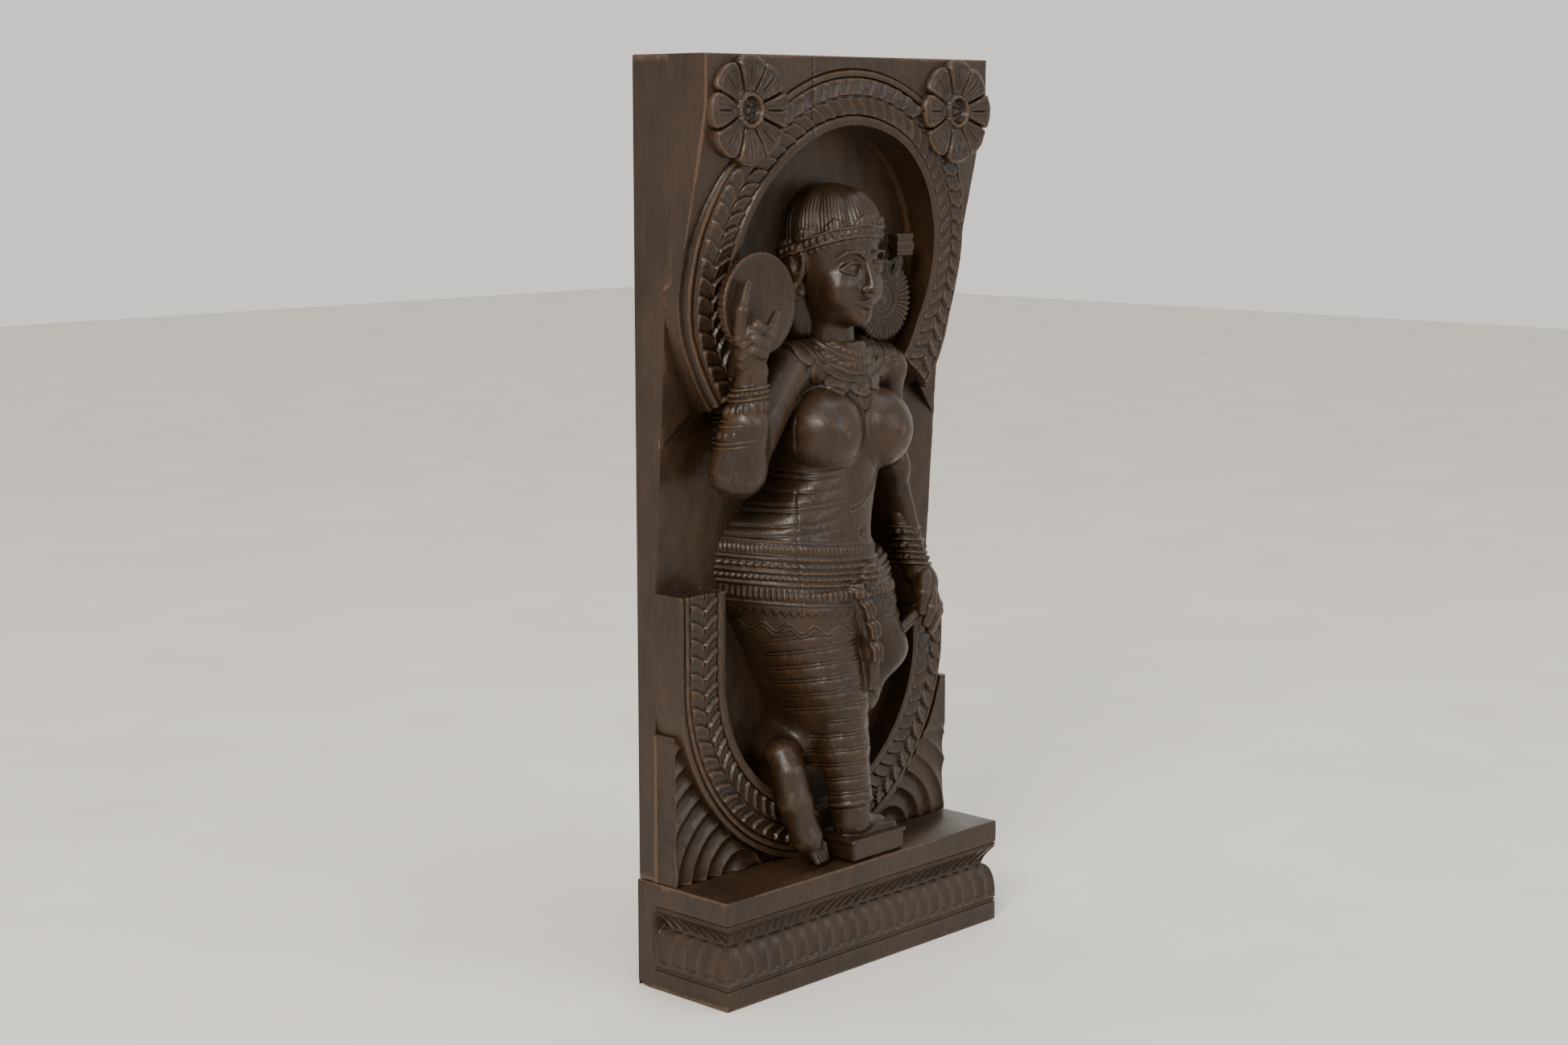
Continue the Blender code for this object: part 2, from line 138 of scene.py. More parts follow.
def new_piece(name, points, faces, keep=1, crease=None):
    """A mesh object from points in millimetres, thinned to the given share of its faces."""
    faces = np.asarray(faces, np.int32)
    mesh = bpy.data.meshes.new(name)
    mesh.vertices.add(len(points))
    mesh.vertices.foreach_set("co", (np.asarray(points) * MM).astype(np.float32).ravel())
    mesh.loops.add(faces.size)
    mesh.loops.foreach_set("vertex_index", faces.ravel())
    mesh.polygons.add(len(faces))
    mesh.polygons.foreach_set("loop_start", np.arange(0, faces.size, faces.shape[1], dtype=np.int32))
    mesh.update(calc_edges=True)
    mesh.validate()
    obj = bpy.data.objects.new(name, mesh)
    bpy.context.scene.collection.objects.link(obj)
    weld = obj.modifiers.new("weld", "WELD")
    weld.merge_threshold = 0.02 * MM
    if keep < 1:
        thin = obj.modifiers.new("thin", "DECIMATE")
        thin.ratio = keep
    bpy.context.view_layer.update()
    made = bpy.data.meshes.new_from_object(obj.evaluated_get(bpy.context.evaluated_depsgraph_get()))
    obj.modifiers.clear()
    obj.data = made
    made.name = name
    made.shade_smooth()
    if crease:
        made.set_sharp_from_angle(angle=math.radians(crease))
    return obj


def read(items, attribute, width, kind=np.float32):
    values = np.empty(len(items) * width, kind)
    items.foreach_get(attribute, values)
    return values.reshape(-1, width)


def mark_wear_and_shade(obj):
    """Stores how far each point stands proud of the surface round it, in millimetres, and how sunk it lies: proud
    points are lightened as wear, sunk ones darkened as painted shade.
    """
    mesh = obj.data
    points = read(mesh.vertices, "co", 3).astype(float) / MM
    edges = read(mesh.edges, "vertices", 2, np.int32)
    soft = relaxed(points, edges.T.ravel(), edges[:, ::-1].T.ravel(), WEAR_ROUNDS)
    proud = ((points - soft) * read(mesh.vertices, "normal", 3)).sum(1)
    length = np.linalg.norm(points[edges[:, 0]] - points[edges[:, 1]], axis=1)
    longest = np.full(len(points), 0.01)
    np.maximum.at(longest, edges.ravel(), np.repeat(length, 2))
    proud = proud * np.minimum(1, WEAR_EDGE / longest) ** 2
    mesh.attributes.new("wear", "FLOAT", "POINT").data.foreach_set("value", proud.astype(np.float32))


def band_faces(rows, columns):
    """Quads between rows of points, where each row closes on itself."""
    index = np.arange(rows * columns).reshape(rows, columns)
    index = np.concatenate([index, index[:, :1]], axis=1)
    return np.stack([index[:-1, :-1], index[:-1, 1:], index[1:, 1:], index[1:, :-1]], -1).reshape(-1, 4)


def outward(points, faces):
    """The faces turned so that they look out of the solid."""
    a, b, c, d = (points[faces[:, i]] for i in range(4))
    volume = np.einsum("ij,ij->", a, np.cross(b, c) + np.cross(c, d))
    return faces[:, ::-1] if volume < 0 else faces


def capped(grid):
    """Points and faces of a closed solid from rings of points, its ends closed by fans."""
    if grid.shape[1] % 2:
        grid = np.concatenate([grid, (grid[:, -1:] + grid[:, :1]) / 2], axis=1)
    rows, columns = grid.shape[:2]
    points = np.concatenate([grid.reshape(-1, 3), grid[:1].mean(1), grid[-1:].mean(1)])
    first = np.arange(0, columns, 2)
    second, third = first + 1, (first + 2) % columns
    last = (rows - 1) * columns
    middle = np.full(columns // 2, rows * columns)
    start = np.stack([middle, third, second, first], -1)
    end = np.stack([middle + 1, last + first, last + second, last + third], -1)
    faces = np.concatenate([band_faces(rows, columns), start, end])
    return points, outward(points, faces)


def relief_piece(name, rings, crease):
    """A piece from rings of points, trimmed to the board's width."""
    rings = np.array(rings)
    rings[..., 0] = np.clip(rings[..., 0], -HALF, HALF)
    return new_piece(name, *capped(rings), crease=crease)


# ---------------------------------------------------------------- the board, the arch and the garland

def carved_ground():
    """The board behind the relief: flat back and sides, and a hollowed front left by a broad gouge."""
    heights = np.unique(np.concatenate([
        [FOOT, FOOT + 0.7, TOP - 0.7, TOP], np.arange(FOOT + 3, TOP - 2, 5),
    ]))
    across = np.linspace(-HALF + 0.9, HALF - 0.9, 82)
    rings = []
    for z in heights:
        inset = 0.5 if z in (FOOT, TOP) else 0
        front = ground(z) + inset - hand_worked(across, 0 * across, z) * 2
        side = HALF - 0.05 - inset
        edge = [(side, ground(z) + 0.8)] + [(side, y) for y in np.linspace(ground(z) + 2.5, BACK - 2.5, 5)]
        edge += [(side, BACK - 0.8 - inset), (side - 0.8, BACK - inset)]
        back = [(x, BACK - inset) for x in np.linspace(1, -1, 39) * (HALF - 3)]
        plan = list(zip(across, front)) + edge + back + [(-x, y) for x, y in reversed(edge)]
        rings.append([(x, y, z) for x, y in plan])
    return relief_piece("carved_ground", rings, 40)


def leaves(along, across, half, rounded):
    """The height of a row of overlapping leaves that grow along a midrib, from 0 beside it to half away."""
    reach = np.clip(across / half, 0, 1)
    line = half * (0.95 * reach - (0.55 if rounded else 0.28) * reach ** 3)
    t = np.mod((along - line) / LEAF_PITCH, 1)
    tip = 1 - ease(t, 0.90, 1)
    height = (0.08 + 0.92 * t ** 0.9) * tip
    edge = 1 - ease(reach, 0.86 if rounded else 0.94, 1) * (1 if rounded else 0.5)
    vein = 0.5 * bump(t, 0.46, 0.09) * ease(reach, 0.05, 0.3)
    return (2.9 * height - vein) * edge * ease(reach, 0, 0.10)


# Across the band: the inner rim, each outer fillet, and the groove on each side of the leaves
RIM_WIDTH, FILLET_WIDTH, GROOVE = 6, 4.4, 0.9
LEAF_START, LEAF_END = RIM_WIDTH + GROOVE, RING_OUTER - RING_INNER - 2 * FILLET_WIDTH - GROOVE
LEAF_BED = 2.7


def band_section(radius, along, slack):
    """How far back the band's carved section lies: rim, two rows of leaves, and two fillets lowered by slack."""
    inner = radius - RING_INNER
    middle, half = (LEAF_START + LEAF_END) / 2, (LEAF_END - LEAF_START) / 2
    first = leaves(along, middle - inner, half, False)
    second = leaves(along, inner - middle, half, True)
    depth = LEAF_BED - np.where(inner < middle, first, second)
    depth = np.where((inner < LEAF_START) | (inner > LEAF_END), 0, depth)
    groove = 1.5 * (bump(inner, LEAF_START - 0.4, GROOVE) + bump(inner, LEAF_END + 0.4, GROOVE))
    fillet = LEAF_END + GROOVE + FILLET_WIDTH
    groove = groove + 1.3 * bump(inner, fillet, GROOVE)
    crown = 0.9 * (1 - bump(inner, RIM_WIDTH / 2, RIM_WIDTH * 0.72)) * (inner < RIM_WIDTH)
    round_one = 0.9 * (1 - bump(inner, fillet - FILLET_WIDTH / 2, FILLET_WIDTH * 0.72)) * (
        (inner > LEAF_END + GROOVE) & (inner < fillet))
    step_one, step_two = ease(inner, LEAF_END, LEAF_END + 1.2), ease(inner, fillet - 1, fillet + 1)
    drop = slack * (0.45 * step_one + 0.55 * step_two)
    return depth + groove + crown + round_one + drop


def across_band():
    """Radii across the band, closer together at the grooves."""
    leaf_start = RING_INNER + RIM_WIDTH + GROOVE
    leaf_end = RING_OUTER - 2 * FILLET_WIDTH - GROOVE
    return np.concatenate([
        RING_INNER + np.array([0, 0.3, 0.9, 2, 3.2, 4.6, 5.6, 6.1, 6.5, 6.9]),
        np.linspace(leaf_start + 0.4, leaf_end - 0.4, 30),
        leaf_end + np.array([0, 0.4, 0.9, 1.8, 3, 4.2, 4.8, 5.3, 5.8, 6.6, 7.6, 8.6, 9.3, 9.7]),
    ])


def arch_front(z):
    """The plane of the arch's face, which slopes back below the crown."""
    return np.interp(z, (428, 485, 620, TOP), (-5, -5.2, -30, -30.6))


# The outermost fillet lies lower than the rest of the band where the head's corners narrow
ARRIS_HEIGHTS = (428, 485, 509, 547, 577, 603, 619, 650)
ARRIS_SLACKS = (7, 8, 11, 11, 8.7, 5.6, 2.2, 2)


CORNER_HEIGHTS = (500, 509, 547, 577, 603, 619, TOP)
CORNER_FRONTS = (2, 1, -6, -14, -22, -27.5, -30.6)


def corner_front(z):
    """The lower plane outside the arch, which falls away down the panel's sides."""
    return np.interp(z, CORNER_HEIGHTS, CORNER_FRONTS)


def drying_crack(x, z):
    """The depth of the split that runs down from the top of the panel."""
    off = x - CRACK + 0.5 * np.sin(z / 6)
    return 1.6 * np.exp(-((off / 0.75) ** 2)) * ease(z, 600, 612)


def niche_arch():
    """The round arch over the niche, with the corners of the panel's head outside it."""
    corner = math.atan2(TOP - ARCH_HEIGHT, HALF)
    angles = np.linspace(ARCH_END_ANGLE, math.pi - ARCH_END_ANGLE, 560)
    for exact in (corner, math.pi - corner):
        angles[np.argmin(abs(angles - exact))] = exact
    radii = across_band()
    rings = []
    for angle in angles:
        c, s = math.cos(angle), math.sin(angle)
        along = -angle * (RING_INNER + RING_OUTER) / 2
        x, z = radii * c, ARCH_HEIGHT + radii * s
        slack = np.interp(z[-1], ARRIS_HEIGHTS, ARRIS_SLACKS)
        y = arch_front(z) + band_section(radii, along, slack)
        y = y - hand_worked(x, y, z) + drying_crack(x, z)
        # the wall of the niche, then the band
        deep = bedded(ARCH_HEIGHT + RING_INNER * s)
        ring = [(RING_INNER * c, v, ARCH_HEIGHT + RING_INNER * s) for v in np.linspace(deep, y[0] + 0.8, 8)]
        ring += list(zip(x, y, z))
        # a step down to the lower plane, which closes onto the board below the head's corners
        edge = min(HALF / max(abs(c), 1e-6), (TOP - ARCH_HEIGHT) / s if s > 0 else 1e9)
        edge = max(edge, RING_OUTER)
        z_edge = ARCH_HEIGHT + edge * s
        open_corner = ease(z_edge, 514, 522)
        face = arch_front(z[-1]) + slack
        start = ARCH_HEIGHT + RING_OUTER * s
        shut = bedded(start) * (1 - open_corner)
        low = max(corner_front(start) * open_corner + shut, face)
        for out, share in ((0, 0.08), (0.25, 0.5), (0.5, 1)):
            radius = RING_OUTER + out
            ring.append((radius * c, face + (low - face) * share, ARCH_HEIGHT + radius * s))
        radius = radius + (max(edge - 0.7, radius) - radius) * np.linspace(0, 1, 12)[1:]
        x, z = radius * c, ARCH_HEIGHT + radius * s
        y = np.maximum(corner_front(z) * open_corner + shut, face)
        y = y - hand_worked(x, y, z) + drying_crack(x, z)
        ring += list(zip(x, y, z))
        # the panel's side, back to the board
        lip = y[-1] + 0.8
        deep = max(bedded(z_edge), lip + 0.1)
        ring += [(edge * c, lip + (deep - lip) * share, z_edge) for share in (0, 0.05, 0.33, 0.66, 1)]
        rings.append(ring)
    return relief_piece("niche_arch", rings, 50)


# The right limb stops this much lower than the left one
GARLAND_FRONT, LOWER_RIGHT_LIMB = -1.5, 24


def garland_ring():
    """The open ring round the legs: two straight limbs and the half circle that joins them."""
    middle = (RING_INNER + RING_OUTER) / 2
    straight, arc_length = GARLAND_END - GARLAND_HEIGHT, math.pi * middle
    radii = across_band()
    rings = []
    for s in np.linspace(0, arc_length + 2 * straight - LOWER_RIGHT_LIMB, 500):
        on_limb = True
        if s < straight:
            cos, sin, centre = -1, 0, GARLAND_END - s
        elif s > straight + arc_length:
            cos, sin, centre = 1, 0, GARLAND_HEIGHT + s - straight - arc_length
        else:
            turn = math.pi + (s - straight) / middle
            cos, sin, centre, on_limb = math.cos(turn), math.sin(turn), GARLAND_HEIGHT, False
        lowest = 1e9 if sin >= 0 else (centre - FOOT) / -sin
        right = ease(cos, 0.2, 0.9)
        high = ease(centre, 240, GARLAND_END - LOWER_RIGHT_LIMB)
        slack = 1.2 + (7 + 4 * high) * right
        y = GARLAND_FRONT + (5 + 4 * high) * right + band_section(radii, -s, slack)
        y = np.where(radii > lowest, np.interp(lowest, radii, y), y)
        reach = np.minimum(radii, lowest)
        x, z = reach * cos, centre + reach * sin
        y = y - hand_worked(x, y, z)
        ring = [(x[0], v, z[0]) for v in np.linspace(bedded(z[0]), y[0] + 0.8, 8)]
        ring += list(zip(x, y, z))
        edge = min(RING_OUTER + 0.4, lowest)
        side = HALF if on_limb else edge
        lip, deep = y[-1] + 0.4, bedded(centre + side * sin)
        for share in (0, 0.12, 0.4, 0.7, 1):
            reach = side if share else edge
            ring.append((reach * cos, lip + (deep - lip) * share, centre + reach * sin))
        rings.append(ring)
    return relief_piece("garland_ring", rings, 50)


# ---------------------------------------------------------------- rosettes and corner fans

ROSETTE_RADIUS, ROSETTE_PETALS = 38.6, 8


def rosette(side):
    """A flower in an upper corner: overlapping petals with fine veins round a ringed eye."""
    cx, cz = side * (HALF - 0.4 - ROSETTE_RADIUS), TOP - 0.4 - ROSETTE_RADIUS
    angle = np.linspace(0, 2 * np.pi, 240, endpoint=False)[:, None]
    petal = np.mod(angle * ROSETTE_PETALS / (2 * np.pi) + 0.5, 1) - 0.5
    outline = ROSETTE_RADIUS * (0.84 + 0.16 * np.sqrt(np.maximum(0, 1 - (2 * np.abs(petal)) ** 2.6)))
    t = np.linspace(0, 1, 48)[None, :] ** 0.85
    r = t * outline
    under = np.floor(angle * ROSETTE_PETALS / (2 * np.pi) + 0.5) % 2
    dish = 3.4 + 2.6 * ease(t, 0.28, 0.8) - 1.5 * ease(t, 0.88, 1) - 0.9 * under * ease(t, 0.3, 0.6)
    width = r * np.pi / ROSETTE_PETALS
    gap = (0.5 - np.abs(petal)) * 2 * width
    notch = 1.9 * np.exp(-((gap / 0.9) ** 2)) * ease(t, 0.25, 0.45)
    rim = 0.9 * bump(gap, 2.6, 2.2) * ease(t, 0.35, 0.5) + 0.8 * bump(t, 0.93, 0.07)
    veins = 0.34 * np.cos(petal * 2 * np.pi * 6) * ease(t, 0.40, 0.55) * (1 - ease(t, 0.78, 0.92))
    groove = 0.7 * bump(np.abs(petal) * width * 2, 0, 0.9) * ease(t, 0.40, 0.5) * (1 - ease(t, 0.75, 0.9))
    ring = 3 * bump(r, 11, 2.3) + 0.8 * bump(r, 14.4, 1.2)
    well = -2.6 * (1 - ease(r, 8, 10))
    beads = 1.3 * bump(r, 5.6, 1.6) * (0.6 + 0.4 * np.cos(angle * 9)) + 2.4 * bump(r, 0, 3.2)
    lift = dish - notch + rim - veins - groove + ring + well + beads
    face = corner_front(cz) + 0.4
    front = face - lift
    x, z = cx + r * np.cos(angle), cz + r * np.sin(angle)
    grid = np.stack([x, front - hand_worked(x, front, z), z], -1)
    rim_y = grid[:, -1, 1]
    for share in (0.3, 1):
        wall = grid[:, -1:].copy()
        wall[:, 0, 1] = rim_y + (face + 14 - rim_y) * share
        grid = np.concatenate([grid, wall], axis=1)
    return relief_piece("rosette_left" if side < 0 else "rosette_right", np.transpose(grid, (1, 0, 2)), 60)


FAN_TOP, FAN_PITCH, FAN_FRONT = 193, 15, 6
PLAIN_FAN_TOP = 153


def corner_fan(side):
    """Curved leaves that fill a lower corner outside the garland and wrap round the panel's edge."""
    rows = []
    for z in np.linspace(FOOT, FAN_TOP, 124):
        inner = max(math.sqrt(max(RING_OUTER ** 2 - (z - GARLAND_HEIGHT) ** 2, 0)) - 3, 40)
        x = inner + (HALF - 0.6 - inner) * np.linspace(0, 1, 110)
        t = np.mod(np.hypot(x - 85, z - 75) / FAN_PITCH - 0.45, 1)
        carved = 1 if side < 0 else 1 - ease(z, PLAIN_FAN_TOP - 6, PLAIN_FAN_TOP)
        front = FAN_FRONT + 0.4 + 2.6 * carved * (1 - (2 * t - 1) ** 2) ** 0.9
        front = front - hand_worked(side * x, front, z)
        phase = np.mod((z - FOOT) / FAN_PITCH - 0.1, 1)
        if side < 0:
            notch, bite = 1.3 * (1 - (2 * phase - 1) ** 2) ** 0.7, 0.5
        else:
            notch, bite = 2.4 * carved * abs(math.sin(math.pi * phase)), 1
        lip, deep = front[-1] + 0.7, bedded(z)
        row = [(side * u, v, z) for u, v in zip(x, front)]
        row.append((side * (HALF - 0.15 - notch * 0.4), lip, z))
        for share, part in ((0.3, bite), (0.85, bite), (0.9, 0), (1, 0)):
            row.append((side * (HALF - notch * part), lip + (deep - lip) * share, z))
        row.append((side * inner, deep, z))
        rows.append(row)
    return relief_piece("fan_left" if side < 0 else "fan_right", rows, 50)


# ---------------------------------------------------------------- the plinth

GADROON_PITCH, SIDE_GADROON_PITCH = 13.9, 14.6

# The cove's leaves stand upright at the left of the front, and lean along the rest
UPRIGHT_LEAVES = 95


def plinth_recess(z):
    """The plinth's section: how far in from its full size the mouldings stand at each height."""
    bowl = 8 * (1 - np.sqrt(np.maximum(0, 1 - np.clip((z - 20.5) / 25.5, 0, 1) ** 2.2)))
    cove = 8 * (1 - np.clip((z - 46) / 14.5, 0, 1) ** 1.7)
    recess = np.where(z < 46, bowl, cove)
    fillets = sum(bump(z, at, 0.8) for at in (15.2, 17.6, 61, 63.4))
    recess = np.where((z < 18.6) | (z > 60.5), 0, recess)
    return recess + fillets


def plinth_heights():
    return np.concatenate([
        [0, 0.35, 1.2], np.linspace(4, 14, 4),
        np.arange(14.4, 19, 0.42), np.arange(19.4, 46, 0.95),
        np.arange(46.1, 60.3, 0.75), np.arange(60.3, 64.4, 0.42),
        np.linspace(65.2, 79, 5), [80, 80.65, 81],
    ])


def moulding_cut(s, z, front):
    """Gadroons on the bowl and leaves in the cove, as extra depth at distance s along the moulding."""
    pitch = GADROON_PITCH if front else SIDE_GADROON_PITCH
    t = np.mod(s / pitch, 1)
    across = np.abs(2 * t - 1)
    foot = 20.6 + 2.6 * across ** 2
    lobe = 1 - across ** 2.5
    inside = ease(z, foot - 0.3, foot + 1.4) * (1 - ease(z, 44.6, 46))
    gadroon = 1.35 * lobe * inside
    lean = 0.9 * (z - 46)
    straight = front & (s < UPRIGHT_LEAVES)
    u = np.where(straight, s / 8.2, (s - lean) / 10.5)
    v = np.mod(u, 1)
    tongue = 1 - np.abs(2 * v - 1) ** 3
    leaf = np.where(straight, 0.9 * (1 - tongue), 1.5 * v ** 1.2)
    cove = leaf * ease(z, 46.4, 48) * (1 - ease(z, 58.6, 60.2))
    return gadroon + cove


def moulded_plinth():
    """The plinth, its mouldings mitred at the front corners and stopped short of the back."""
    left, front_y, right, back = plinth_low[0], plinth_low[1], plinth_high[0], plinth_high[1]
    side_end = back - 15
    heights = plinth_heights()[None, :]
    ends = np.array([0, 0.5, 1.2])
    side = np.concatenate([ends, np.linspace(2, 77.5, 92), side_end - front_y - ends[::-1]])
    wide = right - left
    front = np.concatenate([[0, 0.35, 0.9], np.linspace(1.6, wide - 1.6, 400), [wide - 0.9, wide - 0.35, wide]])
    base = plinth_recess(heights)
    edge = 0.7 * ease(heights, 80, 81) ** 2 + 0.5 * (1 - ease(heights, 0, 0.6))
    s = front[:, None]
    x = left + base + (right - left - 2 * base) * (s / wide)
    taper = ease(s, 0, 1.6) * ease(wide - s, 0, 1.6)
    depth = base + moulding_cut(x - left, heights, True) * taper + edge
    worn = 0.5 * np.exp(-((np.minimum(s, wide - s) / 0.8) ** 2))
    y = front_y + depth + worn - 0.6 * hand_worked(x, 0 * x, heights)
    front_grid = np.stack([x + np.where(s < wide / 2, worn, -worn), y, heights + 0 * x], -1)
    s = side[:, None]
    stop = 1 - ease(s, side_end - front_y - 5, side_end - front_y - 1)
    recess = base * stop
    y = front_y + base + (side_end - front_y - base) * (s / (side_end - front_y))
    taper = ease(s, 0, 1.6) * stop
    depth = recess + moulding_cut(y - front_y, heights, False) * taper + edge
    worn = 0.5 * np.exp(-((s / 0.8) ** 2))
    z = heights + 0 * y
    side_x = depth + worn - 0.6 * hand_worked(0 * y + 7, y, z)
    left_grid = np.stack([left + side_x, y + worn, z], -1)[::-1]
    right_grid = np.stack([right - side_x, y + worn, z], -1)
    back_run = np.array([side_end + 4, back - 6, back - 1.2, back - 0.35])
    corner = []
    for y0 in back_run:
        corner.append(np.stack([right - edge[0], 0 * heights[0] + y0, heights[0]], -1))
    for x0 in np.linspace(right - 0.8, left + 0.8, 21):
        corner.append(np.stack([0 * heights[0] + x0, back - edge[0], heights[0]], -1))
    for y0 in back_run[::-1]:
        lift = np.maximum(0, 5 * ease(y0, back - 9, back) - heights[0]) if y0 > back - 9 else 0
        corner.append(np.stack([left + edge[0], 0 * heights[0] + y0, heights[0] + lift], -1))
    grid = np.concatenate([front_grid, right_grid, np.array(corner), left_grid], axis=0)
    rings = np.transpose(grid, (1, 0, 2))
    middle = np.array([0, 0, rings[-1, 0, 2]])
    inner = middle + (rings[-1:] - middle) * np.array([0.985, 0.95, 1])
    points, faces = capped(np.concatenate([rings, inner]))
    return new_piece("moulded_plinth", points, faces, keep=0.5, crease=55)


# ---------------------------------------------------------------- forms carved from one block

def smooth_min(a, b, blend):
    h = np.clip(0.5 + 0.5 * (b - a) / max(blend, 1e-3), 0, 1)
    return b + (a - b) * h - blend * h * (1 - h)


class Block:
    """A block carved by adding and cutting rounded forms, held as distances to its surface."""

    def __init__(self, low, high, step):
        self.low, self.step = np.array(low, float), step
        counts = np.ceil((np.array(high, float) - self.low) / step).astype(int) + 1
        self.field = np.full(counts, 40, np.float32)

    def window(self, low, high):
        start = np.floor((np.array(low, float) - self.low) / self.step).astype(int)
        stop = np.ceil((np.array(high, float) - self.low) / self.step).astype(int) + 1
        start, stop = np.clip(start, 0, self.field.shape), np.clip(stop, 0, self.field.shape)
        part = tuple(slice(a, b) for a, b in zip(start, stop))
        x, y, z = (
            (self.low[i] + self.step * np.arange(start[i], stop[i])).astype(np.float32) for i in range(3)
        )
        return part, x[:, None, None], y[None, :, None], z[None, None, :]

    def add(self, form, blend):
        low, high, distance = form
        part, x, y, z = self.window(np.subtract(low, blend + 3), np.add(high, blend + 3))
        self.field[part] = smooth_min(self.field[part], distance(x, y, z), blend)

    def add_path(self, points, radii, blend):
        """Adds tapering rods joined end to end."""
        for start, end, radius_start, radius_end in zip(points, points[1:], radii, radii[1:]):
            self.add(rod(start, end, radius_start, radius_end), blend)

    def cut(self, form, blend):
        low, high, distance = form
        part, x, y, z = self.window(np.subtract(low, blend + 3), np.add(high, blend + 3))
        self.field[part] = -smooth_min(-self.field[part], distance(x, y, z), blend)

    def skin(self):
        """The surface as points and quads, with one point in each cell that it crosses."""
        field = self.field
        for axis in range(3):
            for end in (0, -1):
                face = [slice(None)] * 3
                face[axis] = end
                field[tuple(face)] = np.maximum(field[tuple(face)], 0.01)
        inside = field < 0
        shape = np.array(inside.shape) - 1
        corners = [(i, j, k) for i in (0, 1) for j in (0, 1) for k in (0, 1)]
        count = sum(
            inside[tuple(slice(c, c + n) for c, n in zip(corner, shape))].astype(np.uint8) for corner in corners
        )
        cells = np.argwhere((count > 0) & (count < 8))
        value = {corner: field[tuple((cells + corner).T)].astype(np.float64) for corner in corners}
        total, hits = np.zeros((len(cells), 3)), np.zeros(len(cells))
        for a in corners:
            for axis in range(3):
                if a[axis]:
                    continue
                b = tuple(1 if i == axis else a[i] for i in range(3))
                crosses = (value[a] < 0) != (value[b] < 0)
                gap = np.where(crosses, value[a] - value[b], 1)
                point = np.repeat(np.array([a], float), len(cells), 0)
                point[:, axis] = value[a] / gap
                total += point * crosses[:, None]
                hits += crosses
        points = self.low + self.step * (cells + total / hits[:, None])
        number = np.full(shape, -1, np.int32)
        number[tuple(cells.T)] = np.arange(len(cells), dtype=np.int32)
        quads = []
        for axis in range(3):
            first = [slice(1, n - 1) for n in inside.shape]
            first[axis] = slice(0, inside.shape[axis] - 1)
            second = list(first)
            second[axis] = slice(1, inside.shape[axis])
            a, b = inside[tuple(first)], inside[tuple(second)]
            at = np.argwhere(a != b)
            solid_first = a[tuple(at.T)]
            at = at + np.array([part.start for part in first])
            u, v = (axis + 1) % 3, (axis + 2) % 3
            sides = []
            for du, dv in ((0, 0), (1, 0), (1, 1), (0, 1)):
                here = at.copy()
                here[:, u] -= du
                here[:, v] -= dv
                sides.append(number[tuple(here.T)])
            quad = np.stack(sides, -1)
            quad[solid_first] = quad[solid_first][:, ::-1]
            quads.append(quad)
        faces = outward(points, np.concatenate(quads))
        a, b = faces.ravel(), np.roll(faces, -1, axis=1).ravel()
        return relaxed(points, np.concatenate([a, b]), np.concatenate([b, a]), SKIN_ROUNDS), faces


def ball(centre, radii, turn=0):
    """An egg-shaped form, turned about Y."""
    centre, radii = np.array(centre, float), np.broadcast_to(np.array(radii, float), 3)
    reach = np.array([max(radii[0], radii[2]), radii[1], max(radii[0], radii[2])])
    c, s = math.cos(turn), math.sin(turn)

    def distance(x, y, z):
        x, y, z = x - centre[0], y - centre[1], z - centre[2]
        u, w = c * x + s * z, c * z - s * x
        near = np.sqrt((u / radii[0]) ** 2 + (y / radii[1]) ** 2 + (w / radii[2]) ** 2)
        slope = np.sqrt((u / radii[0] ** 2) ** 2 + (y / radii[1] ** 2) ** 2 + (w / radii[2] ** 2) ** 2)
        return near * (near - 1) / np.maximum(slope, 1e-6)

    return centre - reach, centre + reach, distance


def rod(start, end, radius_start, radius_end):
    """A round form that tapers between two points."""
    a, b = np.array(start, float), np.array(end, float)
    most = max(radius_start, radius_end)
    along = b - a
    length = float(along @ along)

    def distance(x, y, z):
        x, y, z = x - a[0], y - a[1], z - a[2]
        t = np.clip((x * along[0] + y * along[1] + z * along[2]) / length, 0, 1)
        off = np.sqrt((x - t * along[0]) ** 2 + (y - t * along[1]) ** 2 + (z - t * along[2]) ** 2)
        return off - (radius_start + (radius_end - radius_start) * t)

    return np.minimum(a, b) - most, np.maximum(a, b) + most, distance


# The depth at which the limbs and the trunk are widest
BASE = 28


def raised_limb(start, end, half_start, half_end, front_start, front_end, power=2.4):
    """A limb in relief: it runs between two (x, z) points, and its sides go back to the ground."""
    a, b = np.array(start, float), np.array(end, float)
    along = b - a
    length = float(along @ along)
    most = max(half_start, half_end)

    def distance(x, y, z):
        u, w = x - a[0], z - a[1]
        t = np.clip((u * along[0] + w * along[1]) / length, 0, 1)
        off = np.sqrt((u - t * along[0]) ** 2 + (w - t * along[1]) ** 2)
        half = half_start + (half_end - half_start) * t
        deep = BASE - (front_start + (front_end - front_start) * t)
        near = ((off / half) ** power + (np.abs(y - BASE) / deep) ** power) ** (1 / power)
        return (near - 1) * np.minimum(half, deep)

    low = np.minimum(a, b) - most
    high = np.maximum(a, b) + most
    return (low[0], min(front_start, front_end), low[1]), (high[0], BASE, high[1]), distance


